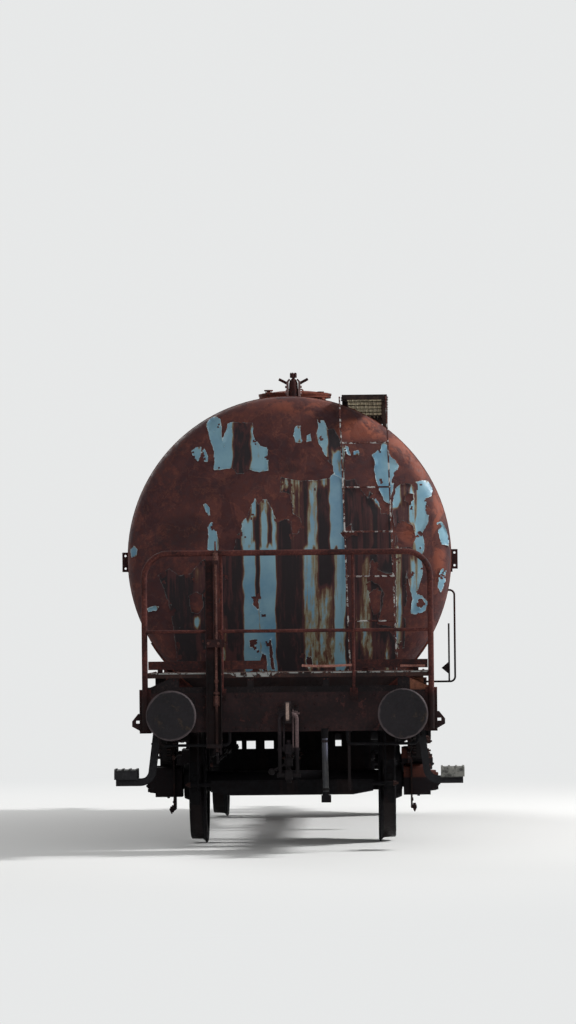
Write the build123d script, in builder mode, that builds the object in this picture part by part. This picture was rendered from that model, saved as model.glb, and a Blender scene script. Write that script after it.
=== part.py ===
from build123d import *
from math import asin, atan2, cos, degrees, radians, sin, sqrt, tan
import os

os.makedirs("parts", exist_ok=True)

# Old two-axle rail tank wagon with an end platform, in millimetres.
# X is across the track, Y along it and Z up. The platform end faces -Y.
# Z = 0 is where the wheel flanges stand, so the rail top lies one flange height above it.

# Running gear
tread_radius = 460
flange_height = 28
flange_back = 680
rim_width = 135
rim_depth = 62
hub_radius = 135
hub_length = 175
web_thickness = 24
wheel_seat_radius = 92
axle_radius = 80
journal_radius = 60
journal_start = 872
journal_end = 1092
front_axle_y = -2500
rear_axle_y = 3000

# Frame
length_over_buffers = 9800
buffer_length = 620
buffer_spacing = 1750
buffer_height = 1030
frame_width = 2250
headstock_height = 300
headstock_web = 14
headstock_flange = 90
frame_top_height = 1190
sole_bar_height = 260
sole_bar_web = 12
sole_bar_flange = 90
sole_bar_web_x = 952
guard_half_width = 520
bearer_depth = 40
bearer_half_length = 1040
flange_plate = 14
rope_hook_reach = 74
rope_hook_thickness = 34
rope_hook_height = 960
end_plate_thickness = 12

# Tank
tank_radius = 1270
tank_length = 6886
tank_centre_y = 300
tank_centre_height = 2231
crown_radius = 3000
knuckle_radius = 180
saddle_thickness = 16
saddle_reach = 1000
wrapper_width = 180
wrapper_thickness = 12

# Manhole and top fittings
manhole_y = 300
neck_radius = 262
neck_wall = 12
neck_height = 144
neck_flange_radius = 306
neck_flange_thickness = 20
manhole_well = 620
lid_radius = 311
lid_edge = 16
lid_dome = 46
lid_gap = 1
hinge_reach = 348
hinge_pin_radius = 9
valve_post_y = -450

# Walkway and ladder
walkway_inner_x = 426
walkway_outer_x = 781
walkway_front_y = -3400
walkway_rear_y = 1000
walkway_top_height = 3500
walkway_depth = 40
walkway_bar = 6
slat_pitch = 55
slat_thickness = 5
slat_height = 26
ladder_top_x = 590
ladder_foot_x = 648
ladder_foot_y = -3700
ladder_width = 360
ladder_stile = 24
rung_radius = 11
first_rung_height = 1729
rung_pitch = 348
rung_count = 5

# Platform
deck_top_height = 1345
deck_thickness = 40
deck_half_width = 1080
deck_depth = 620
deck_plate = 6
deck_edge = 46
deck_bays = 4
step_plate_depth = 45
toe_board_height = 65
toe_board_gap = 25
toe_board_thickness = 24

# Railing
rail_post_x = 1095
rail_tube_radius = 22.5
rail_top_height = 2282
rail_corner_radius = 190
hoop_tail = 20
mid_rail_height = 1661
mid_rail_radius = 13
inner_post_x = 504
inner_post_radius = 12.5
foot_plate_width = 90
foot_plate_thickness = 12
weld_sink = 3

# Clearances
seat_gap = 0.3
running_gap = 0.5
shoe_gap = 7

# Places worked out from the sizes above
rail_top = flange_height
axle_z = tread_radius + flange_height
headstock_y = length_over_buffers / 2 - buffer_length
frame_top = rail_top + frame_top_height
headstock_bottom = frame_top - headstock_height
sole_bar_bottom = frame_top - sole_bar_height
bearer_bottom = sole_bar_bottom - bearer_depth
buffer_z = rail_top + buffer_height
rope_hook_z = rail_top + rope_hook_height
rope_hook_y = headstock_y - 40
tank_z = rail_top + tank_centre_height
tank_top = tank_z + tank_radius
tank_bottom = tank_z - tank_radius
tank_front = tank_centre_y - tank_length / 2
tank_rear = tank_centre_y + tank_length / 2
neck_top = tank_top + neck_height
deck_top = rail_top + deck_top_height
deck_bottom = deck_top - deck_thickness
walkway_top = rail_top + walkway_top_height
walkway_bottom = walkway_top - walkway_depth
railing_y = -headstock_y - foot_plate_thickness - rail_tube_radius + weld_sink
axle_places = {"front": front_axle_y, "rear": rear_axle_y}
sides = {"left": -1, "right": 1}
upwards = (Align.CENTER, Align.CENTER, Align.MIN)


def across(y):
    """Plane across the track at y: sketch x is X, sketch y is Z, and it extrudes towards -Y."""
    return Plane.XZ.offset(-y)


def along(x):
    """Plane along the track at x: sketch x is Y, sketch y is Z, and it extrudes towards +X."""
    return Plane.YZ.offset(x)


def level(z):
    """Level plane at height z, which extrudes upwards."""
    return Plane.XY.offset(z)


def block(x, y, z, mode=Mode.ADD):
    """Square block between two limits in X, in Y and in Z, added to the part being built."""
    middle = ((x[0] + x[1]) / 2, (y[0] + y[1]) / 2, (z[0] + z[1]) / 2)
    with Locations(middle):
        Box(abs(x[1] - x[0]), abs(y[1] - y[0]), abs(z[1] - z[0]), mode=mode)


def rod(start, end, radius, mode=Mode.ADD):
    """Round bar from one point to another, added to the part being built."""
    run = Vector(*end) - Vector(*start)
    with Locations(Plane(origin=start, z_dir=run).location):
        Cylinder(radius, run.length, align=upwards, mode=mode)


# Tank barrel, with the well under the manhole
with BuildPart() as tank_barrel:
    with BuildSketch(across(tank_front)):
        with Locations((0, tank_z)):
            Circle(tank_radius)
    extrude(amount=-tank_length)
    with BuildSketch(level(tank_top)):
        with Locations((0, manhole_y)):
            Circle(neck_radius - neck_wall)
    extrude(amount=-manhole_well, mode=Mode.SUBTRACT)
tank_barrel.part.label = "tank_barrel"
export_step(tank_barrel.part, "parts/tank_barrel.step")

# Dished tank ends: a knuckle arc that runs into a shallow crown arc
knuckle_reach = tank_radius - knuckle_radius
crown_drop = sqrt((crown_radius - knuckle_radius) ** 2 - knuckle_reach**2)
dish_depth = crown_radius - crown_drop
knuckle_angle = degrees(atan2(crown_drop, knuckle_reach))


def dished_end(ring_y, facing):
    """Dished end whose flat ring lies at ring_y and whose crown points along Y by facing."""
    ring = Plane(origin=(0, ring_y, tank_z), x_dir=(1, 0, 0), z_dir=(0, 0, facing))
    with BuildPart() as end:
        with BuildSketch(ring):
            with BuildLine():
                Line((0, 0), (tank_radius, 0))
                CenterArc((knuckle_reach, 0), knuckle_radius, 0, knuckle_angle)
                CenterArc((0, -crown_drop), crown_radius, knuckle_angle, 90 - knuckle_angle)
                Line((0, dish_depth), (0, 0))
            make_face()
        revolve(axis=Axis((0, ring_y, tank_z), (0, 1, 0)))
    return end


front_tank_end = dished_end(tank_front, -1)
front_tank_end.part.label = "front_tank_end"
export_step(front_tank_end.part, "parts/front_tank_end.step")

rear_tank_end = dished_end(tank_rear, 1)
rear_tank_end.part.label = "rear_tank_end"
export_step(rear_tank_end.part, "parts/rear_tank_end.step")

# Saddles: upright plates on the sole bars under a wrapper plate that is curved to the tank
saddle_offset = guard_half_width + 60
saddle_places = [
    front_axle_y - saddle_offset,
    front_axle_y + saddle_offset,
    tank_centre_y,
    rear_axle_y - saddle_offset,
    rear_axle_y + saddle_offset,
]
saddle_root = sole_bar_bottom
saddle_drop = 660
saddle_rib = 12
saddle_rib_places = [360, 700, 980]
with BuildPart() as tank_saddles:
    for saddle_y in saddle_places:
        with BuildSketch(across(saddle_y - saddle_thickness / 2)):
            with Locations((0, frame_top)):
                Rectangle(2 * saddle_reach, 420, align=(Align.CENTER, Align.MIN))
            with Locations((0, frame_top)):
                saddle_width = 2 * (sole_bar_web_x - seat_gap)
                Rectangle(saddle_width, frame_top - saddle_root, align=(Align.CENTER, Align.MAX))
            with Locations((0, tank_z)):
                Circle(tank_radius + seat_gap, mode=Mode.SUBTRACT)
            with Locations((0, tank_z)):
                Rectangle(2 * saddle_reach, 2 * saddle_drop, mode=Mode.SUBTRACT)
        extrude(amount=-saddle_thickness)
        with BuildSketch(across(saddle_y - wrapper_width / 2)):
            with Locations((0, tank_z)):
                Circle(tank_radius + seat_gap + wrapper_thickness)
                Circle(tank_radius + seat_gap, mode=Mode.SUBTRACT)
            with Locations((0, tank_z - saddle_drop)):
                above_wrapper = (3 * tank_radius, 3 * tank_radius)
                Rectangle(*above_wrapper, align=(Align.CENTER, Align.MIN), mode=Mode.SUBTRACT)
        extrude(amount=-wrapper_width)
        for side in sides.values():
            for rib_x in saddle_rib_places:
                rib_low = frame_top if rib_x > sole_bar_web_x else saddle_root
                rib_inner_x = rib_x - saddle_rib / 2
                rib_high = tank_z - sqrt(tank_radius**2 - rib_inner_x**2) - wrapper_thickness / 2
                block(
                    (side * (rib_x - saddle_rib / 2), side * (rib_x + saddle_rib / 2)),
                    (saddle_y - wrapper_width / 2 + saddle_rib, saddle_y + wrapper_width / 2 - saddle_rib),
                    (rib_low, rib_high),
                )
tank_saddles.part.label = "tank_saddles"
export_step(tank_saddles.part, "parts/tank_saddles.step")

# Side lugs at mid height of the tank, each with two holes one above the other
lug_places = [tank_front + 190, tank_centre_y, tank_rear - 190]
lug_height = 155
lug_reach = 56
lug_thickness = 16
lug_hole_radius = 9
lug_hole_spacing = 100
lug_drop = 20
with BuildPart() as tank_lugs:
    for lug_y in lug_places:
        for side in sides.values():
            with BuildSketch(across(lug_y - lug_thickness / 2)):
                with Locations((side * tank_radius, tank_z - lug_drop)):
                    Rectangle(2 * lug_reach, lug_height)
                with Locations((0, tank_z)):
                    Circle(tank_radius + seat_gap, mode=Mode.SUBTRACT)
                with Locations((side * (tank_radius + 0.55 * lug_reach), tank_z - lug_drop)):
                    with GridLocations(0, lug_hole_spacing, 1, 2):
                        Circle(lug_hole_radius, mode=Mode.SUBTRACT)
            extrude(amount=-lug_thickness)
tank_lugs.part.label = "tank_lugs"
export_step(tank_lugs.part, "parts/tank_lugs.step")

# Manhole neck with its flange and the two hinge ears with their pin
hinge_y = manhole_y + hinge_reach
hinge_z = neck_top + 22
ear_thickness = 14
ear_gap = 52
with BuildPart() as manhole_neck:
    with BuildSketch(level(tank_top - 60)):
        with Locations((0, manhole_y)):
            Circle(neck_radius)
    extrude(amount=neck_height + 60)
    with BuildSketch(level(neck_top)):
        with Locations((0, manhole_y)):
            Circle(neck_flange_radius)
    extrude(amount=-neck_flange_thickness)
    for side in sides.values():
        with BuildSketch(along(side * (ear_gap / 2 + ear_thickness / 2) - ear_thickness / 2)):
            with Locations((hinge_y, hinge_z)):
                Circle(20)
            with Locations((hinge_y - 70, neck_top - neck_flange_thickness)):
                Rectangle(90, hinge_z - neck_top + neck_flange_thickness, align=(Align.MIN, Align.MIN))
            with Locations((hinge_y - 28, neck_top)):
                Rectangle(60, 60, align=(Align.MAX, Align.MIN), mode=Mode.SUBTRACT)
        extrude(amount=ear_thickness)
    pin_reach = ear_gap / 2 + ear_thickness + 6
    rod((-pin_reach, hinge_y, hinge_z), (pin_reach, hinge_y, hinge_z), hinge_pin_radius)
    with BuildSketch(level(tank_top - 60)):
        with Locations((0, manhole_y)):
            Circle(neck_radius - neck_wall)
    extrude(amount=neck_height + 60, mode=Mode.SUBTRACT)
    with Locations((0, manhole_y, tank_z)):
        Cylinder(tank_radius + seat_gap, 900, rotation=(90, 0, 0), mode=Mode.SUBTRACT)
manhole_neck.part.label = "manhole_neck"
export_step(manhole_neck.part, "parts/manhole_neck.step")

# Manhole lid: shallow dome with a hinge knuckle and a mushroom vent
lid_bottom = neck_top + lid_gap
vent_x = -225
dome_reach = lid_radius - 20
lid_crown = (dome_reach**2 + (lid_dome - lid_edge) ** 2) / (2 * (lid_dome - lid_edge))
lid_angle = degrees(asin(dome_reach / lid_crown))
with BuildPart() as manhole_lid:
    with BuildSketch(Plane(origin=(0, manhole_y, lid_bottom), x_dir=(1, 0, 0), z_dir=(0, -1, 0))):
        with BuildLine():
            Line((0, 0), (lid_radius, 0))
            Line((lid_radius, 0), (lid_radius, lid_edge))
            Line((lid_radius, lid_edge), (dome_reach, lid_edge))
            CenterArc((0, lid_dome - lid_crown), lid_crown, 90 - lid_angle, lid_angle)
            Line((0, lid_dome), (0, 0))
        make_face()
    revolve(axis=Axis((0, manhole_y, 0), (0, 0, 1)))
    with BuildSketch(along(-ear_gap / 2 + 3)):
        with Locations((hinge_y, hinge_z)):
            Circle(19)
        with Locations((hinge_y, hinge_z)):
            Rectangle(100, 19, align=(Align.MAX, Align.MIN))
        with Locations((hinge_y, hinge_z)):
            Circle(hinge_pin_radius + running_gap, mode=Mode.SUBTRACT)
    extrude(amount=ear_gap - 6)
    with Locations((vent_x, manhole_y, lid_bottom + 12)):
        Cylinder(14, 34, align=upwards)
    with Locations((vent_x, manhole_y, lid_bottom + 44)):
        Cylinder(38, 10, align=upwards)
manhole_lid.part.label = "manhole_lid"
export_step(manhole_lid.part, "parts/manhole_lid.step")

# Swing bolts, hanging from ears under the neck flange
bolt_angles = [40, 140, 220, 320]
bolt_circle = neck_flange_radius + 8
bolt_z = neck_top - neck_flange_thickness - 16
with BuildPart() as manhole_bolts:
    for angle in bolt_angles:
        eye = Vector(bolt_circle * cos(radians(angle)), manhole_y + bolt_circle * sin(radians(angle)), bolt_z)
        around = Vector(-sin(radians(angle)), cos(radians(angle)), 0)
        inwards = Vector(-cos(radians(angle)), -sin(radians(angle)), 0)
        rod((eye + around * -20), (eye + around * 20), 13)
        rod(eye, (eye + inwards * (bolt_circle - neck_radius - seat_gap)), 9)
        rod(eye, (eye - Vector(0, 0, 92)), 8)
        rod((eye - Vector(0, 0, 62)), (eye - Vector(0, 0, 82)), 16)
    with Locations((0, manhole_y, tank_z)):
        Cylinder(tank_radius + 5, 1200, rotation=(90, 0, 0), mode=Mode.SUBTRACT)
    with Locations((0, manhole_y, tank_top)):
        Cylinder(neck_radius + seat_gap, 400, mode=Mode.SUBTRACT)
    with Locations((0, manhole_y, neck_top - neck_flange_thickness)):
        Cylinder(neck_flange_radius + 40, 60, align=upwards, mode=Mode.SUBTRACT)
manhole_bolts.part.label = "manhole_bolts"
export_step(manhole_bolts.part, "parts/manhole_bolts.step")

# Head of the bottom valve's spindle, with side plates, a knob and two arms
post_top = rail_top + 3785
arm_z = rail_top + 3797
with BuildPart() as valve_post:
    with BuildSketch(level(tank_top - 30)):
        with Locations((0, valve_post_y)):
            Circle(74)
    extrude(amount=70)
    with BuildSketch(level(tank_top + 40)):
        with Locations((0, valve_post_y)):
            Circle(46)
    with BuildSketch(level(post_top)):
        with Locations((0, valve_post_y)):
            Circle(26)
    loft()
    for side in sides.values():
        side_plate_z = (tank_top + 30, post_top - 60)
        block((side * 50, side * 60), (valve_post_y - 30, valve_post_y + 30), side_plate_z)
    block((-60, 60), (valve_post_y - 8, valve_post_y + 8), (post_top - 72, post_top - 60))
    with Locations((0, valve_post_y, post_top)):
        Cylinder(30, 55, align=upwards)
    rod((0, valve_post_y, post_top + 20), (-124, valve_post_y, arm_z + 8), 10)
    rod((0, valve_post_y, post_top + 20), (115, valve_post_y, arm_z + 12), 10)
    with Locations((0, valve_post_y, tank_z)):
        Cylinder(tank_radius + seat_gap, 600, rotation=(90, 0, 0), mode=Mode.SUBTRACT)
valve_post.part.label = "valve_post"
export_step(valve_post.part, "parts/valve_post.step")

# Walkway frame: side members, end plates and plates that stand on the tank
walkway_length = walkway_rear_y - walkway_front_y
bracket_count = 5
bracket_pitch = (walkway_length - 2 * walkway_bar) / (bracket_count - 1)
with BuildPart() as walkway_frame:
    for member_x in (walkway_inner_x, walkway_outer_x - walkway_bar):
        member_sides = (member_x, member_x + walkway_bar)
        block(member_sides, (walkway_front_y, walkway_rear_y), (walkway_bottom, walkway_top))
    for index in range(bracket_count):
        bracket_y = walkway_front_y + walkway_bar + index * bracket_pitch
        on_tank = tank_front < bracket_y
        with BuildSketch(across(bracket_y - walkway_bar)):
            with Locations(((walkway_inner_x + walkway_outer_x) / 2, walkway_top - walkway_depth + 6)):
                Rectangle(walkway_outer_x - walkway_inner_x, walkway_depth, align=(Align.CENTER, Align.MAX))
            if on_tank:
                with BuildLine():
                    Polyline(
                        (walkway_inner_x + 20, walkway_bottom),
                        (walkway_outer_x, walkway_bottom),
                        (walkway_outer_x, tank_z + 990),
                        (walkway_outer_x - 90, tank_z + 900),
                        (walkway_inner_x + 20, tank_z + 1000),
                        close=True,
                    )
                make_face()
                with Locations((0, tank_z)):
                    Circle(tank_radius + seat_gap, mode=Mode.SUBTRACT)
        extrude(amount=-walkway_bar)
walkway_frame.part.label = "walkway_frame"
export_step(walkway_frame.part, "parts/walkway_frame.step")

# Walkway grating: slats across three bearer bars
slat_count = int((walkway_length - 2 * walkway_bar - slat_pitch) / slat_pitch)
grating_x = (walkway_inner_x + walkway_bar + seat_gap, walkway_outer_x - walkway_bar - seat_gap)
grating_middle_x = (grating_x[0] + grating_x[1]) / 2
with BuildPart() as walkway_grating:
    with Locations((grating_middle_x, (walkway_front_y + walkway_rear_y) / 2, walkway_top - slat_height / 2)):
        with GridLocations(0, slat_pitch, 1, slat_count):
            Box(grating_x[1] - grating_x[0], slat_thickness, slat_height)
    for bar_x in (grating_x[0], grating_middle_x - 3, grating_x[1] - 6):
        block(
            (bar_x, bar_x + 6),
            (walkway_front_y + walkway_bar + seat_gap, walkway_rear_y - walkway_bar - seat_gap),
            (walkway_top - slat_height - 7, walkway_top - slat_height),
        )
walkway_grating.part.label = "walkway_grating"
export_step(walkway_grating.part, "parts/walkway_grating.step")

# End ladder from the deck to the walkway
ladder_top_z = walkway_bottom - seat_gap
ladder_top_y = walkway_front_y - 2
ladder_foot_z = deck_top + seat_gap
ladder_run = Vector(ladder_top_x - ladder_foot_x, ladder_top_y - ladder_foot_y, ladder_top_z - ladder_foot_z)
below_deck = (deck_top - 60, ladder_foot_z)
beside_walkway = (walkway_bottom - 60, walkway_top + 100)
with BuildPart() as end_ladder:
    for side in sides.values():
        foot = Vector(ladder_foot_x + side * ladder_width / 2, ladder_foot_y, ladder_foot_z)
        rod(foot, (foot + ladder_run + Vector(0, 0, walkway_depth)), ladder_stile / 2)
    for index in range(rung_count):
        share = (rail_top + first_rung_height + index * rung_pitch - deck_top) / (ladder_top_z - deck_top)
        middle = Vector(ladder_foot_x, ladder_foot_y, deck_top) + ladder_run * share
        reach = Vector(ladder_width / 2, 0, 0)
        rod((middle - reach), (middle + reach), rung_radius)
    block((0, 2 * ladder_foot_x), (-headstock_y, tank_front), below_deck, mode=Mode.SUBTRACT)
    block((0, 2 * ladder_foot_x), (walkway_front_y - seat_gap, 0), beside_walkway, mode=Mode.SUBTRACT)
end_ladder.part.label = "end_ladder"
export_step(end_ladder.part, "parts/end_ladder.step")

# Railing posts: upright tubes on foot plates that are fixed to the headstock
rail_foot_z = headstock_bottom + 10
rail_centre_z = rail_top + rail_top_height - rail_tube_radius
hoop_foot_z = rail_centre_z - rail_corner_radius - hoop_tail
foot_plate_y = (-headstock_y - foot_plate_thickness, -headstock_y)
with BuildPart() as railing_posts:
    for side in sides.values():
        post_x = side * rail_post_x
        rod((post_x, railing_y, rail_foot_z), (post_x, railing_y, hoop_foot_z), rail_tube_radius)
        foot_plate_x = (post_x - foot_plate_width / 2, post_x + foot_plate_width / 2)
        block(foot_plate_x, foot_plate_y, (headstock_bottom - 5, frame_top + 30))
railing_posts.part.label = "railing_posts"
export_step(railing_posts.part, "parts/railing_posts.step")

# Railing: the bent top tube between the posts, with a mid rail and two inner posts
mid_z = rail_top + mid_rail_height
inner_foot_z = frame_top + 4
inner_plate_half = 30
with BuildPart() as end_railing:
    with BuildLine() as hoop:
        FilletPolyline(
            (-rail_post_x, railing_y, hoop_foot_z),
            (-rail_post_x, railing_y, rail_centre_z),
            (rail_post_x, railing_y, rail_centre_z),
            (rail_post_x, railing_y, hoop_foot_z),
            radius=rail_corner_radius,
        )
    with BuildSketch(Plane(origin=hoop.line @ 0, z_dir=hoop.line % 0)):
        Circle(rail_tube_radius)
    sweep()
    rod((-rail_post_x, railing_y, mid_z), (rail_post_x, railing_y, mid_z), mid_rail_radius)
    for side in sides.values():
        post_x = side * rail_post_x
        post_hole = ((post_x, railing_y, mid_z - 100), (post_x, railing_y, mid_z + 100))
        rod(*post_hole, rail_tube_radius + seat_gap, mode=Mode.SUBTRACT)
        inner_x = side * inner_post_x
        rod((inner_x, railing_y, inner_foot_z), (inner_x, railing_y, rail_centre_z), inner_post_radius)
        inner_plate_x = (inner_x - inner_plate_half, inner_x + inner_plate_half)
        block(inner_plate_x, foot_plate_y, (frame_top - 60, frame_top + 30))
        block((inner_x - 10, inner_x + 10), (railing_y, -headstock_y), (inner_foot_z, inner_foot_z + 20))
end_railing.part.label = "end_railing"
export_step(end_railing.part, "parts/end_railing.step")

# Platform deck, cut back where it would meet the tank end
deck_rear_y = -headstock_y + deck_depth
with BuildPart() as platform_deck:
    block((-deck_half_width, deck_half_width), (-headstock_y - 4, deck_rear_y), (deck_bottom, deck_top))
    pocket_width = (2 * deck_half_width - deck_edge) / deck_bays - deck_edge
    with Locations((0, (-headstock_y - 4 + deck_rear_y) / 2, deck_bottom)):
        with GridLocations(pocket_width + deck_edge, 0, deck_bays, 1):
            Box(
                pocket_width,
                deck_rear_y + headstock_y + 4 - 2 * deck_edge,
                deck_thickness - deck_plate,
                align=upwards,
                mode=Mode.SUBTRACT,
            )
platform_deck.part.label = "platform_deck"
export_step(platform_deck.part, "parts/platform_deck.step")

# Slanted grating strip on the headstock, the stools that carry the deck and the gussets at its ends
stool_places = [-861, -290, 290, 861]
stool_width = 46
strip_depth = 130
strip_bar = 8
strip_count = 44
strip_slant = 45
gusset_foot_x = 1060
gusset_head_x = 900
gusset_thickness = 12
with BuildPart() as platform_supports:
    strip_front = -headstock_y + strip_bar
    strip_rear = -headstock_y + strip_depth
    with BuildSketch(across(strip_front)):
        with Locations((0, frame_top + step_plate_depth / 2)):
            with GridLocations(2 * deck_half_width / strip_count, 0, strip_count, 1):
                Rectangle(strip_bar, 1.6 * step_plate_depth, rotation=-strip_slant)
        with Locations((0, frame_top + 1.5 * step_plate_depth), (0, frame_top - 0.5 * step_plate_depth)):
            Rectangle(2 * frame_width, step_plate_depth, mode=Mode.SUBTRACT)
    extrude(amount=strip_bar)
    strip_x = (-deck_half_width, deck_half_width)
    strip_top = frame_top + step_plate_depth
    block(strip_x, (strip_front, strip_rear), (frame_top, frame_top + strip_bar))
    for bar_y in (strip_front, strip_rear - strip_bar):
        block(strip_x, (bar_y, bar_y + strip_bar), (frame_top, strip_top))
    for stool_x in stool_places:
        block(
            (stool_x - stool_width / 2, stool_x + stool_width / 2),
            (strip_front, strip_front + 76),
            (frame_top, deck_bottom),
        )
    for side in sides.values():
        block((side * 1040, side * 960), (deck_rear_y - 90, deck_rear_y - 20), (frame_top, deck_bottom))
        with BuildSketch(across(strip_front)):
            with BuildLine():
                Polyline(
                    (side * gusset_foot_x, frame_top),
                    (side * gusset_foot_x, frame_top + step_plate_depth),
                    (side * gusset_head_x, deck_bottom),
                    (side * (gusset_head_x - 60), deck_bottom),
                    (side * (gusset_head_x - 60), frame_top),
                    close=True,
                )
            make_face()
        extrude(amount=-gusset_thickness)
platform_supports.part.label = "platform_supports"
export_step(platform_supports.part, "parts/platform_supports.step")

# Toe boards along the front edge, with the middle stretch missing
# Columns: left end, right end
toe_board_spans = [(-1070, -162), (504, 1070)]
with BuildPart() as toe_boards:
    for left_end, right_end in toe_board_spans:
        block(
            (left_end, right_end),
            (-headstock_y - 2, -headstock_y - 2 + toe_board_thickness),
            (deck_top + toe_board_gap, deck_top + toe_board_gap + toe_board_height),
        )
        for clip_x in (left_end + 90, right_end - 90):
            block(
                (clip_x - 20, clip_x + 20),
                (-headstock_y - 2 + toe_board_thickness, -headstock_y + 4 + toe_board_thickness),
                (deck_top, deck_top + toe_board_gap + toe_board_height - 10),
            )
toe_boards.part.label = "toe_boards"
export_step(toe_boards.part, "parts/toe_boards.step")

# Hand brake column: a narrow channel above the gear bracket and a wide open one below it
column_x = (-625, -560)
housing_x = (-625, -507)
column_depth = 60
column_wall = 6
column_y = railing_y - mid_rail_radius - seat_gap - column_depth
column_sides = (column_y, column_y + column_depth)
clip_x = (housing_x[0], -inner_post_x - inner_plate_half - 1)
column_top = rail_top + 2205
bracket_z = (rail_top + 1540, rail_top + 1600)
column_bottom = rail_top + 800
spindle_x = -546
spindle_y = column_y + 22
spindle_radius = 11
collar_radius = 19
collar_z = (rail_top + 2205, rail_top + 2262)
spindle_top = rail_top + 2350


def channel(limits_x, limits_z):
    """Upright channel, open towards -Y, between two limits in X and in Z."""
    block(limits_x, column_sides, limits_z)
    hollow_x = (limits_x[0] + column_wall, limits_x[1] - column_wall)
    block(hollow_x, (column_y - 1, column_y + column_depth - column_wall), limits_z, mode=Mode.SUBTRACT)


with BuildPart() as handbrake_column:
    channel(column_x, (bracket_z[0], column_top))
    channel(housing_x, (column_bottom, bracket_z[0]))
    block(housing_x, column_sides, bracket_z)
    block((housing_x[1], -inner_post_x + 20), (column_sides[1] - 12, column_sides[1]), bracket_z)
    block((spindle_x - 24, spindle_x + 24), column_sides, (column_top - 30, column_top))
    block(housing_x, column_sides, (column_bottom - 30, column_bottom))
    for clip_z in (headstock_bottom + 40, frame_top - 60):
        block(clip_x, (column_sides[1], -headstock_y), (clip_z - 18, clip_z + 18))
    rod(
        (spindle_x, spindle_y, column_bottom - 40),
        (spindle_x, spindle_y, column_top + 10),
        spindle_radius + running_gap,
        mode=Mode.SUBTRACT,
    )
handbrake_column.part.label = "handbrake_column"
export_step(handbrake_column.part, "parts/handbrake_column.step")

# Hand brake spindle: bare square top where the crank is missing, collar, bevel gear and screw nut
spindle_foot = rail_top + 742
nut_places = [(rail_top + 1090, rail_top + 1170), (rail_top + 1180, rail_top + 1200)]
with BuildPart() as handbrake_spindle:
    rod((spindle_x, spindle_y, spindle_foot), (spindle_x, spindle_y, collar_z[1]), spindle_radius)
    rod((spindle_x, spindle_y, column_top + seat_gap), (spindle_x, spindle_y, collar_z[1]), collar_radius)
    with BuildSketch(level(collar_z[1])):
        with Locations((spindle_x, spindle_y)):
            Rectangle(16, 16)
    extrude(amount=spindle_top - collar_z[1], taper=1.5)
    for low, high in nut_places:
        with BuildSketch(level(low)):
            with Locations((spindle_x, spindle_y)):
                RegularPolygon(24, 6)
        extrude(amount=high - low)
handbrake_spindle.part.label = "handbrake_spindle"
export_step(handbrake_spindle.part, "parts/handbrake_spindle.step")

# Hand brake linkage: a bell crank under the headstock and the rod that runs back to the brake shaft
bell_y = -headstock_y + 45
bell_z = rail_top + 742
linkage_z = rail_top + 665
brake_shaft_y = 120
brake_shaft_z = rail_top + 585
linkage_radius = 11
crank_pin_radius = 12
bell_thickness = 16
with BuildPart() as handbrake_linkage:
    with BuildSketch(along(spindle_x - bell_thickness / 2)):
        with BuildLine():
            Polyline(
                (spindle_y - 26, bell_z - 32),
                (spindle_y - 26, bell_z - spindle_radius),
                (spindle_y + 26, bell_z - spindle_radius),
                (bell_y, bell_z + 28),
                (bell_y + 28, bell_z),
                (bell_y + 18, linkage_z - 20),
                (bell_y - 18, linkage_z - 20),
                (bell_y - 24, bell_z - 28),
                close=True,
            )
        make_face()
    extrude(amount=bell_thickness)
    linkage_end = (spindle_x, brake_shaft_y - crank_pin_radius - seat_gap, linkage_z)
    rod((spindle_x, bell_y, linkage_z), linkage_end, linkage_radius)
    rod((spindle_x - 34, bell_y, bell_z), (spindle_x + 34, bell_y, bell_z), 13)
    for bracket_x in (spindle_x - 30, spindle_x + 18):
        block((bracket_x, bracket_x + 12), (bell_y - 14, bell_y + 32), (bell_z - 26, headstock_bottom))
handbrake_linkage.part.label = "handbrake_linkage"
export_step(handbrake_linkage.part, "parts/handbrake_linkage.step")


def headstock_profile(side):
    """Channel section of a headstock, whose web faces along Y by side, in the plane along X."""
    face = side * headstock_y
    back = face - side * headstock_flange
    inner = face - side * headstock_web
    Polyline(
        (face, headstock_bottom),
        (face, frame_top),
        (back, frame_top),
        (back, frame_top - flange_plate),
        (inner, frame_top - flange_plate),
        (inner, headstock_bottom + flange_plate),
        (back, headstock_bottom + flange_plate),
        (back, headstock_bottom),
        close=True,
    )


def rope_hook_outline(side):
    """Pointed outline of a rope hook at the end of a headstock, in the plane across the track."""
    root = side * frame_width / 2
    Polyline(
        (root - side * 30, rope_hook_z + 75),
        (root + side * 28, rope_hook_z + 75),
        (root + side * rope_hook_reach, rope_hook_z + 18),
        (root + side * rope_hook_reach, rope_hook_z - 22),
        (root + side * 10, rope_hook_z - 58),
        (root - side * 30, rope_hook_z - 58),
        close=True,
    )


# Headstocks: channels across both ends, with end plates, rope hooks and a hole for the draw hook
hook_hole = 32
with BuildPart() as front_headstock:
    with BuildSketch(along(-frame_width / 2)):
        with BuildLine():
            headstock_profile(-1)
        make_face()
    extrude(amount=frame_width)
    with Locations((0, -headstock_y, buffer_z)):
        Box(2 * hook_hole, 60, 2 * hook_hole, mode=Mode.SUBTRACT)
    for side in sides.values():
        with BuildSketch(across(-rope_hook_y - rope_hook_thickness / 2)):
            with BuildLine():
                rope_hook_outline(side)
            make_face()
            with Locations((side * (frame_width / 2 + 22), rope_hook_z + 12)):
                Rectangle(44, 22, mode=Mode.SUBTRACT)
        extrude(amount=-rope_hook_thickness)
        end_plate_x = (side * (frame_width / 2 - end_plate_thickness), side * frame_width / 2)
        end_plate_y = (-headstock_y, -headstock_y + headstock_flange)
        block(end_plate_x, end_plate_y, (headstock_bottom, frame_top))
front_headstock.part.label = "front_headstock"
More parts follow.
